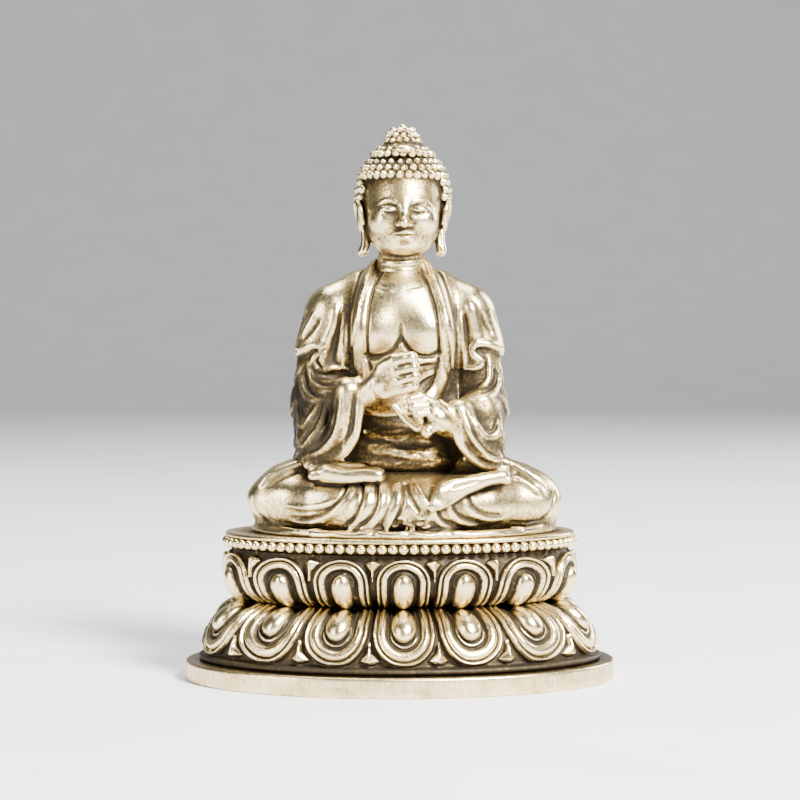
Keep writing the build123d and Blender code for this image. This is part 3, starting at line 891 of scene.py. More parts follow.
    # the sleeves' hems lie on the thighs
    roll(clay, [(-16.3, 22.9), (-14.9, 24.2), (-12.2, 25.3), (-9.2, 26), (-7, 26)], 0.42, lift=0, k=0.4)
    roll(clay, [(7.6, 26), (10, 26.1), (12.4, 25.4), (14.8, 24.2), (16.9, 22.7)], 0.42, lift=0, k=0.4)
    groove(clay, [(-15.6, 22.6), (-13.6, 23.8), (-11.2, 24.7), (-9, 25.2)], 0.4, 0.3)
    groove(clay, [(9.6, 25.3), (12.2, 24.7), (14.4, 23.6), (16.2, 22.2)], 0.4, 0.3)
    fold(clay, [(12.8, 24), (14.6, 23.2), (16.6, 21.6)], 0.5, 0.22, side=-1)
    low = SEAT - clay.axes[2][None, None, :]
    clay.d = np.maximum(clay.d, low.astype(np.float32))
    return clay


def chest_and_arms():
    """The body above the lap with both sleeved arms, sculpted in one and then parted at the shoulders."""
    clay = Clay((-15.2, -11.6, 23.6), (15.8, 9.4, 49.6), BODY_VOXEL)
    # trunk
    clay.ball((0, 1.6, 38.4), (8, 5.5, 8), k=1)
    clay.ball((0, 2, 29.6), (7.4, 5.7, 7.6), k=2)
    clay.ball((0, -1, 29), (5.2, 3.6, 5.6), k=1.5)
    clay.ball((0, -0.6, 26.2), (7.6, 5.4, 3.6), k=1.5)
    clay.ball((0, 0.2, 28.4), (8.6, 4.8, 5), k=1.5)
    for side in (-1, 1):
        clay.rod([(side * 7.6, 3, 39), (side * 8, 2.8, 32), (side * 8.6, 2.2, 25.4)], (3, 3.4, 3.6), k=2)
    for side in (-1, 1):
        clay.rod([(side * 1.4, 2.4, 46.6), (side * 4.4, 2.1, 45.2), (side * 7.4, 1.8, 43.3)],
            (1.7, 2.35, 2.6), k=1.2)
        clay.ball((side * 2.75, -2.3, 40.7), (3.3, 2.35, 3.2), turn=side * 12, k=1.2)
    clay.ball((0, -0.2, 43.4), (5.6, 3.6, 4.4), k=1.5)
    clay.ball((0, 0.8, 45.8), (3, 2.7, 2.2), k=1.2)
    clay.rod([(0, 0.8, 46), (0, 0.8, 47.6)], (2.9, 2.75), k=0.8)
    groove(clay, [(-0.1, 42.6), (-0.05, 40.8), (0, 39.4)], 0.6, 0.34, taper=(0.7, 0.1), sharp=1.3)
    for side in (-1, 1):
        breast = [(0, 40.3), (side * 0.7, 38.8), (side * 2, 37.9), (side * 3.5, 37.8), (side * 4.9, 38.6)]
        groove(clay, breast, 0.55, 0.46, taper=(0.15, 0.1))
        ridge(clay, [(side * 0.6, 45.3), (side * 2.2, 45.5), (side * 3.6, 46.1)], 0.45, 0.12)
    # arms: upper arm, elbow, forearm and the cloth that hangs from it
    for side in (-1, 1):
        elbow = side * (9.65 if side > 0 else 9.9)
        upper_arm = [(side * 8.2, 1.7, 42.4), (side * 9.4, 1.4, 38.5), (elbow, 0.6, 34), (elbow, 0.2, 31)]
        clay.rod(upper_arm, (2.65, 2.6, 2.5, 2.4), k=1.6)
        clay.rod([(elbow, 0.2, 31), (elbow, -0.6, 27.6), (elbow, -1.6, 25)], (2.4, 2.5, 2.6), k=1.5)
        clay.rod([(side * 9.3, -3.4, 31), (side * 9.9, -4.2, 28.2), (side * 10.2, -4, 26.7)],
            (2.4, 2.3, 1.85), k=1.4)
    clay.rod([(-10.4, 0.4, 32.6), (-8.6, -4, 33), (-6.4, -6.1, 33.6)], (2.3, 2.1, 1.75), k=1.2)
    clay.rod([(10.4, 0.4, 32.2), (8.9, -3.8, 31.6), (6.7, -6, 31.2)], (2.3, 2.1, 1.6), k=1.2)
    clay.rod([(-6.2, -7, 33.8), (-6.4, -7, 31.4), (-7, -6.8, 29), (-8.6, -6.2, 26.8), (-10.2, -5.6, 26.2)],
        (1.6, 1.6, 1.6, 1.4, 1.3), k=0.9)
    clay.rod([(6.5, -6.7, 31.3), (7.5, -6.9, 29.4), (8.8, -6.3, 27.2), (10.4, -5.6, 26.1)],
        (1.5, 1.6, 1.45, 1.3), k=0.9)
    # the shadowed hollows behind the sleeves' mouths
    for side in (-1, 1):
        clay.rod([(side * 5, -4.6, 31.6), (side * 5.7, -4.8, 29), (side * 6.6, -4.8, 26.6)],
            (1.1, 1.3, 1.2), k=0.4, cut_away=True)
    clay.rod([(-3.9, -5.9, 33), (-4.4, -5.9, 30)], (0.9, 1), k=0.3, cut_away=True)
    return clay


def dress(clay):
    """The robe: collar bands, the cape over both shoulders with its curled hem, and the sleeves' folds."""
    # under-robe and sash across the belly
    clay.patch([(-4.4, 37.3), (-2, 37.5), (4.6, 38), (5.6, 35), (4, 31), (-4.6, 31)], 0.3, 0.35, (-9, 0))
    for line in ([(4.6, 37.4), (1.6, 37), (-1.6, 35.6)], [(4.7, 36.2), (2.6, 35.4), (0.4, 33.4)],
            [(4.4, 35), (3.4, 33.8), (2, 32.2)]):
        fold(clay, line, 0.55, 0.28, side=1)
    for line, width, height in (
        ([(-4.4, 31), (-2, 30.2), (0.8, 29.7), (3.6, 30.3)], 0.6, 0.2),
        ([(-5, 29.6), (-3, 28.4), (0.2, 28.5), (3.2, 28.2), (4.4, 29)], 0.9, 0.34),
        ([(-5.4, 27.4), (-2.4, 27.1), (1.4, 26.3), (4, 26.9), (5.4, 28)], 1, 0.42),
        ([(-5.8, 25.7), (-2, 25.3), (1.6, 25.1), (5.8, 25.7)], 0.9, 0.4),
        ([(-4.4, 31.8), (-2.6, 31), (-0.4, 31)], 0.45, 0.22),
        ([(4.4, 31.4), (3, 30.4), (1, 30.2)], 0.45, 0.25),
    ):
        ridge(clay, line, width, height)
    rng = np.random.default_rng(5)
    for _ in range(60):
        x, z = rng.uniform(-4.6, 4.6), rng.uniform(25.4, 29.4)
        run = rng.uniform(0.7, 1.6)
        ridge(clay, [(x - run, z + rng.uniform(-0.4, 0.4)), (x, z), (x + run, z + rng.uniform(-0.4, 0.4))],
            0.32, rng.uniform(0.1, 0.26))
    # cape: thicker cloth down to the curled hem, on the arms and round the back
    for s in (-1, 1):
        hem = [(13.2, 38.7), (12, 38.5), (10, 39), (8.7, 38.7), (9.6, 37.4), (8.9, 36.2), (7.4, 36.3),
            (6.6, 36.2)]
        outline = [(s * x, z) for x, z in [(2.6, 49.4), (14, 49.4), (14, 38.7), *hem, (6, 36.2),
            (5.8, 38.5), (5.2, 41), (4.7, 44), (3.6, 47)]]
        clay.patch(outline, 0.42, 0.16, (-10, 3))
    # right shoulder, on the viewer's left
    ridge(clay, [(-7.3, 44.2), (-7.9, 41.6), (-8.8, 39.2), (-9.2, 37.3), (-8.9, 36.4)], 0.85, 0.5)
    groove(clay, [(-6.95, 43.6), (-7.2, 41.2), (-7.8, 38.9), (-8.1, 37.1)], 0.42, 0.55)
    ridge(clay, [(-6.6, 43.4), (-6.75, 40.6), (-7.1, 38.2), (-7.3, 36.7)], 0.5, 0.42)
    groove(clay, [(-6.05, 43.8), (-6.05, 40), (-6.1, 37), (-6.2, 34.2)], 0.75, 0.9, sharp=1)
    groove(clay, [(-9.3, 42.6), (-10.1, 41.1), (-11.5, 39.6)], 0.42, 0.42)
    ridge(clay, [(-9.9, 43), (-11, 41.2), (-12, 39.6)], 0.7, 0.25)
    roll(clay, [(-12.1, 38.7), (-11.2, 38.5), (-10, 39), (-9.3, 38.8), (-9.3, 38.2), (-9.9, 37.8),
        (-10.2, 37.1), (-9.8, 36.4), (-9, 36.1), (-8, 36.4), (-7.2, 36.3)], 0.42, lift=-0.05, k=0.35)
    # left shoulder, on the viewer's right
    ridge(clay, [(7.9, 44.6), (8.5, 42.4), (8.9, 40.4), (8.9, 39.2)], 0.95, 0.45)
    groove(clay, [(7.5, 43.2), (7.7, 40.4), (7.9, 38)], 0.42, 0.5)
    ridge(clay, [(7, 43.2), (7.2, 40.4), (7.5, 38), (7.6, 36.4)], 0.42, 0.42)
    groove(clay, [(6.45, 43.9), (6.5, 40), (6.7, 36.8), (6.9, 34)], 0.75, 0.9, sharp=1)
    groove(clay, [(9.5, 43.2), (10, 41.6), (11, 40)], 0.42, 0.42)
    roll(clay, [(12.1, 38.4), (11.4, 38.8), (10.1, 39.2), (8.9, 39.2), (8.3, 38.6), (8.6, 37.8),
        (9.3, 37.4), (9.4, 36.8), (8.7, 36.4), (7.6, 36.3)], 0.42, lift=-0.05, k=0.35)
    # collar bands
    right_band = [(-2.8, 48.3), (-3.9, 46.4), (-4.6, 43.8), (-4.9, 40.6), (-4.8, 38), (-4.4, 36),
        (-3.9, 34.4)]
    left_band = [(3, 48.4), (4.2, 46.2), (5, 43.2), (5.35, 39.6), (5.2, 36.7), (4.4, 34.3), (3.2, 32.8),
        (1.2, 31.3)]
    for band, side in ((right_band, 1), (left_band, -1)):
        ridge(clay, band, 1.05, 0.62, sharp=0.3, taper=(0, 0.06))
        groove(clay, beside(band, side * 0.98), 0.32, 0.4, taper=(0, 0.05))
        groove(clay, beside(band, -side * 1), 0.4, 0.55, taper=(0, 0.05))
    # sleeves: U-shaped folds that hang from the elbow, and the rolled edge of the mouth
    for s, folds in (
        (-1, (
            [(10.9, 38), (10.6, 35.3), (9.7, 34.2), (8.4, 34), (7.4, 34.7)],
            [(11.7, 37.4), (11.6, 34.9), (11.1, 33.5), (9.9, 32.8), (8.8, 33.2)],
            [(11.9, 33), (11.9, 31), (11.4, 29.9), (10.4, 31), (9.4, 32.8)],
            [(11.9, 29), (11.4, 27.6), (9.9, 29.2), (9, 31.2), (8.6, 33.3)],
            [(11.4, 26.2), (9.4, 27), (7.9, 28.6), (7.2, 30.8), (7, 33.8)],
        )),
        (1, (
            [(10.4, 38), (10.4, 35.5), (9.7, 34.4), (8.6, 34)],
            [(11.6, 37.4), (11.7, 35), (11, 33.7), (9.6, 33), (8, 33.2)],
            [(11.7, 31.4), (11.2, 29.2), (9.9, 28.6), (8.7, 29.8), (8, 31.6)],
            [(12, 26.6), (11, 25.9), (9.4, 26.7), (7.8, 28.9), (6.7, 32.2)],
        )),
    ):
        for line in folds:
            fold(clay, [(s * x, z) for x, z in line], 0.7, 0.4, side=-s, taper=(0.3, 0.3))
    right_mouth = [
        (-4.9, -6.8, 35.2), (-4.7, -7.8, 34.5), (-4.75, -8.1, 32.8), (-4.95, -8.1, 30.8), (-5.4, -7.9, 28.6),
        (-6.6, -7.4, 26.8), (-8.6, -6.8, 25.8), (-10.8, -6.2, 25.3),
    ]
    left_mouth = [
        (4.4, -7, 32.5), (5.2, -7.7, 31.8), (5.8, -8, 30.2), (6.5, -7.8, 28.1), (7.9, -7.2, 26.2),
        (9.8, -6.6, 25.1), (12, -5.9, 24.9),
    ]
    for mouth in (right_mouth, left_mouth):
        clay.rod(spline(mouth, 0.3), 0.45, k=0.55)
    groove(clay, [(-5.5, 34.4), (-5.7, 31), (-6.2, 28.9), (-7.6, 27.2), (-9.6, 26.3)], 0.42, 0.35)
    groove(clay, [(5.6, 32.6), (6.6, 31), (7.4, 28.8), (8.6, 27), (10.4, 26.1)], 0.42, 0.35)
    sides_and_back(clay)


def sides_and_back(clay):
    """The robe's outer sides and back: the collar behind the neck, a broad cape and long hanging folds."""
    for view in ("right", "left"):
        for line in (
            [(-1.6, 37.6), (0.4, 35.4), (2.6, 34.6), (4.2, 35.6)],
            [(-2.8, 34), (-0.4, 31.4), (2.4, 30.8), (4.4, 32.4)],
            [(-4.6, 31), (-2.2, 28.2), (1, 27.4), (3.6, 29.2)],
            [(-6, 28), (-3.4, 26), (0.4, 25.4)],
        ):
            fold(clay, line, 0.95, 0.2, view=view, side=-1)
        roll(clay, [(-1.2, 38.5), (0.6, 38.1), (2.4, 38.3), (4.2, 39)], 0.3, view=view)
        groove(clay, [(0.2, 43.6), (0.8, 41.4), (0.6, 39.2)], 0.45, 0.3, view=view)
        groove(clay, [(2.4, 43.4), (2.9, 41.2), (2.6, 39.2)], 0.45, 0.3, view=view)
    for s in (-1, 1):
        roll(clay, [(s * 11.4, 38.9), (s * 9.4, 38), (s * 7.2, 37.2), (s * 5.2, 35.2), (s * 3, 33.9),
            (s * 0.4, 33.4)], 0.3, view="back")
        for line in (
            [(s * 1.6, 46.2), (s * 1.9, 41), (s * 1.4, 36)],
            [(s * 3.6, 45.6), (s * 4.4, 41), (s * 4, 36.8)],
            [(s * 6, 44.8), (s * 7, 41.4), (s * 6.8, 38.6)],
        ):
            fold(clay, line, 0.8, 0.34, view="back", side=s)
        for line in (
            [(s * 1.2, 32.4), (s * 1.5, 28.6), (s * 1.2, 24.8)],
            [(s * 3.4, 33), (s * 3.9, 29), (s * 3.6, 24.8)],
            [(s * 5.8, 34.2), (s * 6.2, 30), (s * 5.9, 25.2)],
        ):
            fold(clay, line, 0.8, 0.36, view="back", side=s)
    roll(clay, [(-3.2, 46.9), (-1.8, 46.2), (0, 45.9), (1.8, 46.2), (3.2, 46.9)], 0.42, view="back",
        lift=0.05)


def curl(clay, place, outward, size):
    """One snail-shell curl of hair: a bead with a smaller bead on it."""
    place, outward = np.array(place), np.array(outward) / np.linalg.norm(outward)
    clay.ball(place, size, k=0.06)
    clay.ball(place + outward * size * 0.75, size * 0.5, k=0.08)


def curl_rows(clay, centre, radii, heights, pitch, size, allowed, roundness=2):
    """Rows of curls round an ellipsoid, each row set half a curl on from the one below."""
    rng = np.random.default_rng(11)
    for row, z in enumerate(heights):
        drop = (z - centre[2]) / (radii[2] if z > centre[2] else radii[3])
        share = math.sqrt(max(1 - abs(drop) ** roundness, 0))
        a, b = radii[0] * share, radii[1] * share
        dense = np.linspace(0, 2 * math.pi, 721)
        run = np.concatenate([[0], np.cumsum(np.hypot(np.diff(a * np.sin(dense)),
            np.diff(b * np.cos(dense))))])
        count = max(1, round(run[-1] / pitch))
        stray = rng.uniform(-0.07, 0.07, (count, 2))
        for i, t in enumerate(np.interp((np.arange(count) + 0.5 * (row % 2)) * run[-1] / count, run, dense)):
            x, y = centre[0] + a * math.sin(t), centre[1] - b * math.cos(t)
            if allowed(x, y, z):
                up = (z - centre[2]) / radii[2] ** 2
                outward = (a * math.sin(t) / radii[0] ** 2, -b * math.cos(t) / radii[1] ** 2, up)
                curl(clay, (x + stray[i, 0], y, z + stray[i, 1]), outward, size)


def calm_face(clay):
    """A plain face on the old canon of statues, in units: forehead, nose and chin four each, the neck
    four more, the whole twelve across, and five eyes to the width. Its lids are lowered."""
    hairline = HAIRLINE
    u = (HAIRLINE - NECK_FOOT) / 16
    brow, nose_base, chin = hairline - 4 * u, hairline - 8 * u, hairline - 12 * u
    eye_z, mouth_z, eye_x = brow - 1.2 * u, nose_base - 1.35 * u, 2.4 * u
    clay.ball((0, -0.4, hairline - 6 * u), (6 * u, 4.1, 6.2 * u), k=1)
    clay.ball((0, 0.6, hairline - 7.5 * u), (5.4 * u, 3.9, 4.2 * u), k=1)
    clay.ball((0, -2.75, mouth_z), (2.7 * u, 1.45, 1.9 * u), k=1.2)
    clay.ball((0, -2.95, chin + 1.2 * u), (1.8 * u, 1.15, 1.2 * u), k=1.2)
    for s in (-1, 1):
        clay.ball((s * 3 * u, -2.5, hairline - 7 * u), (2.4 * u, 1.7, 2.4 * u), k=1)
        jaw = [(s * 4.4 * u, 1, chin + 3.2 * u), (s * 3 * u, -1.4, chin + 1.6 * u),
            (s * 1.2 * u, -2.8, chin + 1.2 * u)]
        clay.rod(jaw, (0.9, 1, 0.85), k=1.2)
        clay.ball((s * eye_x, -5.15, eye_z + 0.1), (1.7 * u, 1.15, 1.05 * u), turn=-s * 5, k=0.7,
            cut_away=True)
        clay.ball((s * eye_x, -3.42, eye_z), (1.75 * u, 1.02, 0.9 * u), k=0.3)
        ridge(clay, [(s * 0.8 * u, brow - 0.5 * u), (s * 1.9 * u, brow + 0.25 * u),
            (s * 3.4 * u, brow + 0.25 * u), (s * 4.8 * u, brow - 0.7 * u)], 0.4, 0.2)
        slit = [(s * 1.15 * u, eye_z - 0.25 * u), (s * 2 * u, eye_z - 0.5 * u),
            (s * 2.9 * u, eye_z - 0.48 * u), (s * 3.8 * u, eye_z - 0.05 * u)]
        groove(clay, slit, 0.22, 0.5)
        crease = [(s * 1.15 * u, eye_z + 0.4 * u), (s * 2.1 * u, eye_z + 0.72 * u),
            (s * 3.1 * u, eye_z + 0.68 * u), (s * 3.9 * u, eye_z + 0.33 * u)]
        groove(clay, crease, 0.2, 0.1)
    clay.rod([(0, -3.7, brow - 0.15 * u), (0, -4.35, brow - 1.9 * u), (0, -4.95, nose_base + 0.8 * u)],
        (0.38, 0.42, 0.56), k=0.7)
    clay.ball((0, -4.95, nose_base + 0.5 * u), (0.58, 0.66, 0.46), k=0.3)
    for s in (-1, 1):
        clay.ball((s * 0.95 * u, -4.45, nose_base + 0.45 * u), (0.4, 0.52, 0.35), k=0.25)
        clay.ball((s * 0.55 * u, -4.95, nose_base - 0.15 * u), (0.18, 0.28, 0.15), k=0.12, cut_away=True)
        clay.ball((s * 0.68 * u, -4.28, mouth_z + 0.34 * u), (0.74, 0.42, 0.24), turn=s * 10, k=0.25)
    clay.ball((0, -4.22, mouth_z - 0.45 * u), (0.88, 0.5, 0.32), k=0.25)
    lips = [(-1.9 * u, mouth_z + 0.12 * u), (-0.9 * u, mouth_z), (0, mouth_z - 0.1 * u), (0.9 * u, mouth_z),
        (1.9 * u, mouth_z + 0.12 * u)]
    groove(clay, lips, 0.17, 0.26, taper=(0.15, 0.15))
    groove(clay, [(0, nose_base - 0.25 * u), (0, mouth_z + 0.65 * u)], 0.26, 0.12)
    groove(clay, [(-1.2 * u, mouth_z - 1.25 * u), (0, mouth_z - 1.35 * u), (1.2 * u, mouth_z - 1.25 * u)],
        0.4, 0.12)


def ear(clay, s):
    """A long ear: rim, shell, and a slotted lobe that swells at the bottom."""
    clay.ball((s * 4.85, 0.9, 54.1), (0.55, 1.15, 1.75), k=0.3)
    rim = [(s * 4.7, -0.35, 53.4), (s * 5, -0.35, 54.9), (s * 5.35, 0.5, 55.8), (s * 5.45, 1.5, 55.4),
        (s * 5.25, 1.8, 54.2), (s * 4.8, 1.5, 52.9)]
    clay.rod(spline(rim, 0.3), 0.36, k=0.15)
    clay.ball((s * 5.6, 0.7, 54.3), (0.45, 0.62, 1.1), k=0.2, cut_away=True)
    lobe = [(s * 4.75, 1.1, 53.3), (s * 4.45, 0.7, 52.1), (s * 4.4, 0.5, 51), (s * 4.6, 0.45, 50.1)]
    clay.rod(spline(lobe, 0.3), np.linspace(0.46, 0.66, len(spline(lobe, 0.3))), k=0.2, squash=(1, 1.35))
    view = "right" if s < 0 else "left"
    groove(clay, [(0.75, 52.4), (0.5, 51.2), (0.45, 50.2)], 0.3, 0.5, view=view, taper=(0.2, 0.2))
    groove(clay, [(s * 4.45, 52.4), (s * 4.4, 51.4), (s * 4.5, 50.5)], 0.18, 0.2, taper=(0.2, 0.2))


def head_clay():
    """The head with its face, ears, hair and neck."""
    clay = Clay((-6.7, -6.4, 46.6), (6.9, 8.2, 65.4), HEAD_VOXEL)
    clay.rod([(0, 1.3, 51.4), (0, 0.7, 48.6), (0, 0.9, 46.4)], (2.7, 2.75, 3.1), k=0.4)
    clay.ball((0, 1.5, 56.6), (4.75, 5.45, 4.9), k=0.5)
    clay.ball((0, 2.3, 53.8), (4.1, 4.4, 4), k=0.8)
    calm_face(clay)
    for z in (49, 48.2, 47.4):
        groove(clay, [(-2.7, z + 0.35), (-1.2, z), (1.2, z), (2.7, z + 0.35)], 0.26, 0.14)
    for s in (-1, 1):
        ear(clay, s)
    # hair: a cap with a straight edge over the brow, then rows of curls, and the topknot
    clay.ball((0, 1.6, 58), (4.6, 5.1, 3.5), k=0.2)
    skull, sideburn = (0.05, 1.8, 56.6), 4.55

    def on_scalp(x, y, z):
        if z < 58.7 and abs(x) < sideburn and y < 2.5:
            return False
        if z < 56.2 and y < 2.4:
            return False
        return z > 52.2 or y > 3.0

    heights = [51.6, 52.4, 53.2, 54, 54.8, 55.6, 56.4, 57.2, 58.05, 58.85, 59.6, 60.25, 60.8]
    curl_rows(clay, skull, (5.1, 5.4, 5.15, 6.8), heights, 0.96, 0.53, on_scalp, 2.7)
    clay.ball((0, 1.2, 61.6), (2.9, 3, 1.6), k=0.4)
    clay.ball((0, 1.1, 62.2), (1.9, 1.95, 2.3), k=0.3)
    curl_rows(clay, (0, 1.15, 60.8), (3.5, 3.65, 1.9, 1.9), [61.35], 0.92, 0.46, lambda x, y, z: True)
    curl_rows(clay, (0, 1.15, 61), (2.95, 3.05, 1.9, 1.9), [61.85], 0.86, 0.44, lambda x, y, z: True)
    curl_rows(clay, (0, 1.1, 61.9), (2, 2, 2.75, 2.75), [62.3, 62.95, 63.6, 64.15], 0.8, 0.4, lambda x, y,
        z: True)
    clay.ball((0, 1.1, 64.55), 0.44, k=0.08)
    return clay


def jewel_clay():
    """The oval stone in its thin setting."""
    low, high = millimetres("hair_jewel")
    centre = (low + high) / 2
    clay = Clay(centre - (2.2, 1.9, 1.6), centre + (2.2, 1.9, 1.6), HEAD_VOXEL)
    clay.ball(centre + (0, -0.35, 0.1), (1.15, 0.72, 0.5), k=0.1)
    clay.ball(centre + (0, 0.2, 0.1), (1.35, 0.62, 0.36), k=0.1)
    return clay


def right_hand_clay():
    """The upper hand: its back towards the viewer's left, four fingers curled one above the other."""
    clay = Clay((-8.2, -12.2, 29.6), (3.6, -4.4, 40.4), HAND_VOXEL)
    clay.rod([(-6.6, -5.6, 32.2), (-4.6, -7, 33.3), (-2.9, -8, 34.6)], (1.4, 1.5, 1.55), k=0.5)
    clay.rod([(-1.3, -8.75, 37), (-0.6, -8.8, 34.5)], 1, k=0.5)
    clay.ball((-1.9, -8.2, 35.6), (1.55, 1.35, 2.1), turn=20, k=0.8)
    clay.rod([(-2.4, -8.6, 36.6), (-0.9, -9.2, 37.4)], (0.75, 0.7), k=0.5)
    knuckles = [(-0.95, -9.35, 37.35), (-0.75, -9.45, 36.2), (-0.45, -9.45, 35.15), (-0.1, -9.35, 34.2)]
    ends = [(1, -9.5, 37.75), (1.2, -9.6, 36.65), (1.3, -9.6, 35.6), (1.25, -9.4, 34.6)]
    for knuckle, end, r in zip(knuckles, ends, (0.74, 0.72, 0.68, 0.62)):
        k, e = np.array(knuckle), np.array(end)
        clay.rod([k, (k + e) / 2 + (0, -0.14, 0.05), e], (r, r * 0.98, r * 0.96), k=0.22)
        clay.rod([e, e + (-0.1, 1.2, -0.1)], (r * 0.96, r * 0.85), k=0.2)
        clay.rod([k, (-2, -8.6, k[2] - 0.7)], (r * 1, r * 0.9), k=0.5)
    clay.rod([(0.1, -8.75, 37.3), (0.3, -8.75, 34.8)], (1.15, 1.1), k=0.4)
    for i in range(3):
        a, b = np.array(knuckles[i]), np.array(knuckles[i + 1])
        c, d = np.array(ends[i]), np.array(ends[i + 1])
        groove(clay, [((a + b) / 2)[[0, 2]], ((c + d) / 2)[[0, 2]]], 0.17, 0.2, taper=(0.1, 0.02))
    groove(clay, [(-3.9, 35.2), (-3.3, 33.9), (-3, 32.7)], 0.4, 0.1)
    return clay


def left_hand_clay():
    """The lower hand: palm in, its fingers curled under the right fist and the thumb across."""
    clay = Clay((-2.6, -12, 26.6), (8.4, -4, 35.6), HAND_VOXEL)
    clay.rod([(7.2, -5.6, 29.2), (5.6, -6.8, 29.8), (4.2, -7.8, 30.6)], (1.35, 1.4, 1.5), k=0.5)
    clay.ball((3.7, -8.3, 31.1), (1.25, 1.1, 2), turn=-38, k=0.7)
    knuckles = [(2, -9.1, 33.35), (2.5, -9.35, 32.5), (2.75, -9.4, 31.6)]
    ends = [(0.9, -9.5, 33), (1.2, -9.8, 32.15), (1.65, -9.75, 31.35)]
    for knuckle, end, r in zip(knuckles, ends, (0.55, 0.56, 0.52)):
        k, e = np.array(knuckle), np.array(end)
        clay.rod([(3.6, -8.6, k[2] - 0.9), k, e], (r * 1.1, r, r), k=0.2)
        clay.rod([e, e + (0.35, 0.5, -0.75)], (r, r * 0.85), k=0.12)
    clay.rod([(3, -8.6, 29.6), (2.75, -9, 29.3)], (0.8, 0.75), k=0.5)
    clay.rod([(3.2, -8.5, 29.7), (1.6, -8.5, 29.75), (0.4, -8.5, 30.6), (-0.9, -8.5, 32.3)],
        (0.7, 0.5, 0.42, 0.36), k=0.25)
    for a, b in (((2.9, 32.6), (1.2, 32.6)), ((3.1, 31.7), (1.5, 31.75))):
        groove(clay, [a, b], 0.22, 0.3, taper=(0.15, 0.05))
    groove(clay, [(2.9, 31), (4, 30.3), (4.9, 29.3)], 0.3, 0.12)
    return clay


def part(clay, share, inset=0):
    """A copy of the clay cut back by a field, negative where it is kept."""
    made = Clay.__new__(Clay)
    made.h, made.low, made.axes = clay.h, clay.low, clay.axes
    made.d = np.maximum(clay.d + inset, share).astype(np.float32)
    return made


def shift_tone(data, amount):
    """Paints a piece darker by an amount that may differ from place to place, or lighter where it is
    negative: painted shade and painted light over the patina on the torso, sleeves and neck, and a plain
    change of tone on the legs and hair.
    """
    data["broad"] = data["broad"] + amount
    return data


def figure_pieces():
    """The figure's sculpted pieces, each with the CAD node that it stands for."""
    legs = legs_clay().mesh("folded_legs")
    # The legs are made a little lighter all over, more so towards the viewer's left.
    lighter_towards_viewer_left = -0.05 - 0.05 * smooth(4, -6, legs["verts"][:, 0])
    pieces = [(shift_tone(legs, lighter_towards_viewer_left), "crossed_legs")]
    upper = chest_and_arms()
    dress(upper)
    x, z = upper.axes[0][:, None, None], upper.axes[2][None, None, :]
    hidden, below = 0.3, 0.012
    trunk = part(upper, np.abs(x) - SEAM + 0.0 * z).mesh("robed_torso")
    vx, vy, vz = trunk["verts"].T
    # Painted shade on the torso: darker below z 34 at the front and beside the sleeves; painted light: the
    # front of the chest lighter.
    painted_shade_low_and_sides = (1 - smooth(28.5, 34, vz)) * (vy < 1) + 0.7 * smooth(4.9, 6.2,
        np.abs(vx)) * (vz < 44) * (vy < 0)
    painted_chest_light = smooth(36.5, 39.5, vz) * (1 - smooth(4, 5.2, np.abs(vx))) * (vy < 0)
    pieces.append((shift_tone(trunk, 0.16 * np.clip(painted_shade_low_and_sides, 0, 1) - 0.09 * painted_chest_light), "torso"))
    for name, field, node_name, painted_sleeve_shade in (
        ("right_sleeve_folds", x + (SEAM + 0.0 * z) - hidden, "right_sleeve", 0.26),
        ("left_sleeve_folds", (SEAM + 0.0 * z) - hidden - x, "left_sleeve", 0.13),
    ):
        sleeve = part(upper, field, below).mesh(name)
        # Painted shade on the sleeves: darker at the front, the right sleeve (on the viewer's left) twice as
        # dark as the left; towards the shoulders this turns to painted light.
        painted_sleeve_shade = painted_sleeve_shade * smooth(4, 0, sleeve["verts"][:, 1])
        pieces.append((shift_tone(sleeve, painted_sleeve_shade - (painted_sleeve_shade + 0.06) * smooth(34, 41, sleeve["verts"][:, 2])),
            node_name))
    pieces.append((right_hand_clay().mesh("right_hand_fist"), "right_hand"))
    pieces.append((left_hand_clay().mesh("left_hand_fingers"), "left_hand"))
    head, jewel = head_clay().mesh("head_and_curls"), jewel_clay().mesh("hair_jewel_cabochon")
    head["verts"][:, 0] += HEAD_SHIFT * smooth(48, 51, head["verts"][:, 2])
    jewel["verts"][:, 0] += HEAD_SHIFT
    # Painted light on the neck, lighter below z 50.4 where the chin shades it; the hair above z 58 is made
    # darker.
    shift_tone(head, 0.08 * smooth(58, 60, head["verts"][:, 2]) - 0.14 * smooth(50.4, 49.4,
        head["verts"][:, 2]))
    pieces += [(head, "head"), (jewel, "hair_jewel")]
    return pieces


# ------------------------------------------------------------------ putting it together
def deepness(pieces):
    """Marks how far each place lies in the hollows of the whole object, in the attribute deep."""
    step = 0.3
    margin = 12  # cells of empty space kept round the object
    points = np.vstack([p["verts"] for p in pieces])
    starts = np.cumsum([0] + [len(p["verts"]) for p in pieces])
    quads = np.vstack([p["faces"] + s for p, s in zip(pieces, starts)])
    scale = vdb.createLinearTransform(step)
    level = vdb.FloatGrid.createLevelSetFromPolygons(
        points.astype(np.float32), quads=quads.astype(np.uint32), transform=scale, halfWidth=3.0
    )
    low = np.floor(points.min(0) / step).astype(int) - margin
    high = np.ceil(points.max(0) / step).astype(int) + margin
    full = np.zeros(high - low + 1, np.float32)
    level.copyToArray(full, ijk=tuple(int(v) for v in low))
    full = np.clip(0.5 - full / step, 0, 1)
    near = box_blur(full, max(1, round(NEAR_REACH / step)))
    far = box_blur(full, max(2, round(FAR_REACH / step)))
    for p in pieces:
        place = p["verts"] / step
        p["deep"] = 0.5 * (sample(near, low, 1, place) + sample(far, low, 1, place)) - 0.5


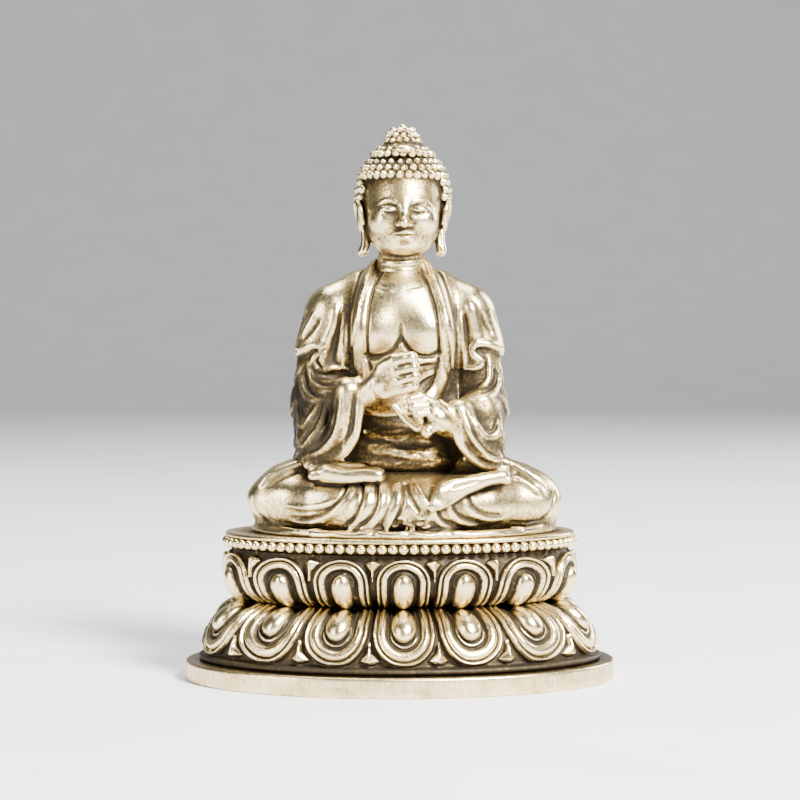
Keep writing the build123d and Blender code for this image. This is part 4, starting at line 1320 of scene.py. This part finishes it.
def make_piece(data, slot, material, *nodes):
    """Turns a sculpted shape into a Blender object that stands for CAD nodes."""
    mesh = bpy.data.meshes.new(data["name"])
    verts, faces = data["verts"] * MM, np.ascontiguousarray(data["faces"])
    corners = faces.shape[1]
    mesh.vertices.add(len(verts))
    mesh.vertices.foreach_set("co", verts.astype(np.float32).ravel())
    mesh.loops.add(faces.size)
    mesh.loops.foreach_set("vertex_index", faces.astype(np.int32).ravel())
    mesh.polygons.add(len(faces))
    mesh.polygons.foreach_set("loop_start", np.arange(0, faces.size, corners, dtype=np.int32))
    mesh.update(calc_edges=True)
    for key in ("fine", "broad", "deep"):
        layer = mesh.attributes.new(key, "FLOAT", "POINT")
        layer.data.foreach_set("value", data[key].astype(np.float32))
    mesh.validate()
    mesh.polygons.foreach_set("use_smooth", np.ones(len(mesh.polygons), bool))
    tidy = bmesh.new()
    tidy.from_mesh(mesh)
    if data.get("merge"):
        bmesh.ops.remove_doubles(tidy, verts=tidy.verts, dist=1e-7)
    bmesh.ops.recalc_face_normals(tidy, faces=tidy.faces)
    tidy.to_mesh(mesh)
    tidy.free()
    mesh.materials.append(material)
    made = bpy.data.objects.new(data["name"], mesh)
    bpy.context.scene.collection.objects.link(made)
    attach(made, "root")
    if nodes:
        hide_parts(*nodes)
    return made


def set_material(node_name, material):
    """Gives a CAD node its material."""
    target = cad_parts[node_name]
    target.data.materials.clear()
    target.data.materials.append(material)


brass = antique_brass()
rim_brass = brushed_rim()

SCULPTED = [
    (foot_edge(), "bright_rim_brass", rim_brass, "foot_plate"),
    (lower_tier(), "antique_brass", brass, "lower_lotus_tier"),
    (upper_tier(), "antique_brass", brass, "upper_lotus_tier"),
    (slab(), "antique_brass", brass, "seat_slab"),
    (beads(), "antique_brass", brass, "bead_band"),
]
SCULPTED += [(data, "antique_brass", brass, node_name) for data, node_name in figure_pieces()]

deepness([row[0] for row in SCULPTED])
for data, slot_name, material, node_name in SCULPTED:
    data["merge"] = node_name in ("seat_slab", "bead_band")
    make_piece(data, slot_name, material, node_name)
set_material("sealing_plate", sheet_brass())
steel = turned_steel()
set_material("figure_screw", steel)
set_material("screw_washer", steel)
for left_over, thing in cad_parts.items():
    if not thing.hide_render and left_over not in ("sealing_plate", "figure_screw", "screw_washer"):
        set_material(left_over, brass)


# ------------------------------------------------------------------ studio
def floor():
    """A plain pale sweep that the statue stands on."""
    profile = [(-0.9, 0.0)] + [(0.75 + 0.5 * math.sin(t), 0.5 * (1 - math.cos(t))) for t in np.linspace(0,
        math.pi / 2, 12)]
    profile += [(1.25, 1.4)]
    mesh = bpy.data.meshes.new("studio_floor")
    verts = [(side * 1.6, y, z) for y, z in profile for side in (-1, 1)]
    faces = [(2 * i, 2 * i + 1, 2 * i + 3, 2 * i + 2) for i in range(len(profile) - 1)]
    mesh.from_pydata(verts, [], faces)
    mesh.polygons.foreach_set("use_smooth", np.ones(len(faces), bool))
    made = bpy.data.objects.new("studio_floor", mesh)
    bpy.context.scene.collection.objects.link(made)
    material, tree, shader = new_material("pale_paper")
    colour = ramp(tree, noise(tree, 60, 3, 0.5), [(0.3, (0.56, 0.56, 0.57)), (0.7, (0.60, 0.60, 0.61))])
    wire(tree, colour, shader.inputs["Base Color"])
    shader.inputs["Roughness"].default_value = 0.75
    made.data.materials.append(material)


def soft_light(name, place, target, width, height, power):
    """A rectangular lamp turned towards a target."""
    light = bpy.data.lights.new(name, "AREA")
    light.shape = "RECTANGLE"
    light.size, light.size_y = width, height
    light.energy = power
    made = bpy.data.objects.new(name, light)
    made.location = place
    made.rotation_euler = (Vector(target) - Vector(place)).to_track_quat("-Z", "Y").to_euler()
    bpy.context.scene.collection.objects.link(made)


def camera():
    """A telephoto look from a little to the figure's right, at chest height and slightly down."""
    axis_height = 0.0326
    made = bpy.data.objects.new("camera", bpy.data.cameras.new("camera"))
    made.data.lens, made.data.sensor_width = 115, 36
    made.data.clip_start = 0.01
    made.location = (-0.0094, -0.2999, 0.044)
    look = Vector((0, 0, axis_height)) - Vector(made.location)
    made.rotation_euler = look.to_track_quat("-Z", "Y").to_euler()
    bpy.context.scene.collection.objects.link(made)
    bpy.context.scene.camera = made


floor()
camera()
CENTRE = (0, 0, 0.032)
soft_light("key", (0.26, -0.35, 0.38), CENTRE, 0.15, 0.15, 24.0)
soft_light("fill", (-0.42, -0.30, 0.16), CENTRE, 0.12, 0.30, 2.4)
soft_light("overhead", (0.0, 0.12, 0.50), CENTRE, 0.30, 0.22, 5.0)
soft_light("rim", (0.40, 0.30, 0.22), CENTRE, 0.15, 0.30, 3.0)

world = bpy.data.worlds.new("studio")
world.use_nodes = True
world.node_tree.nodes["Background"].inputs["Color"].default_value = (0.55, 0.57, 0.62, 1)
world.node_tree.nodes["Background"].inputs["Strength"].default_value = 0.14
bpy.context.scene.world = world
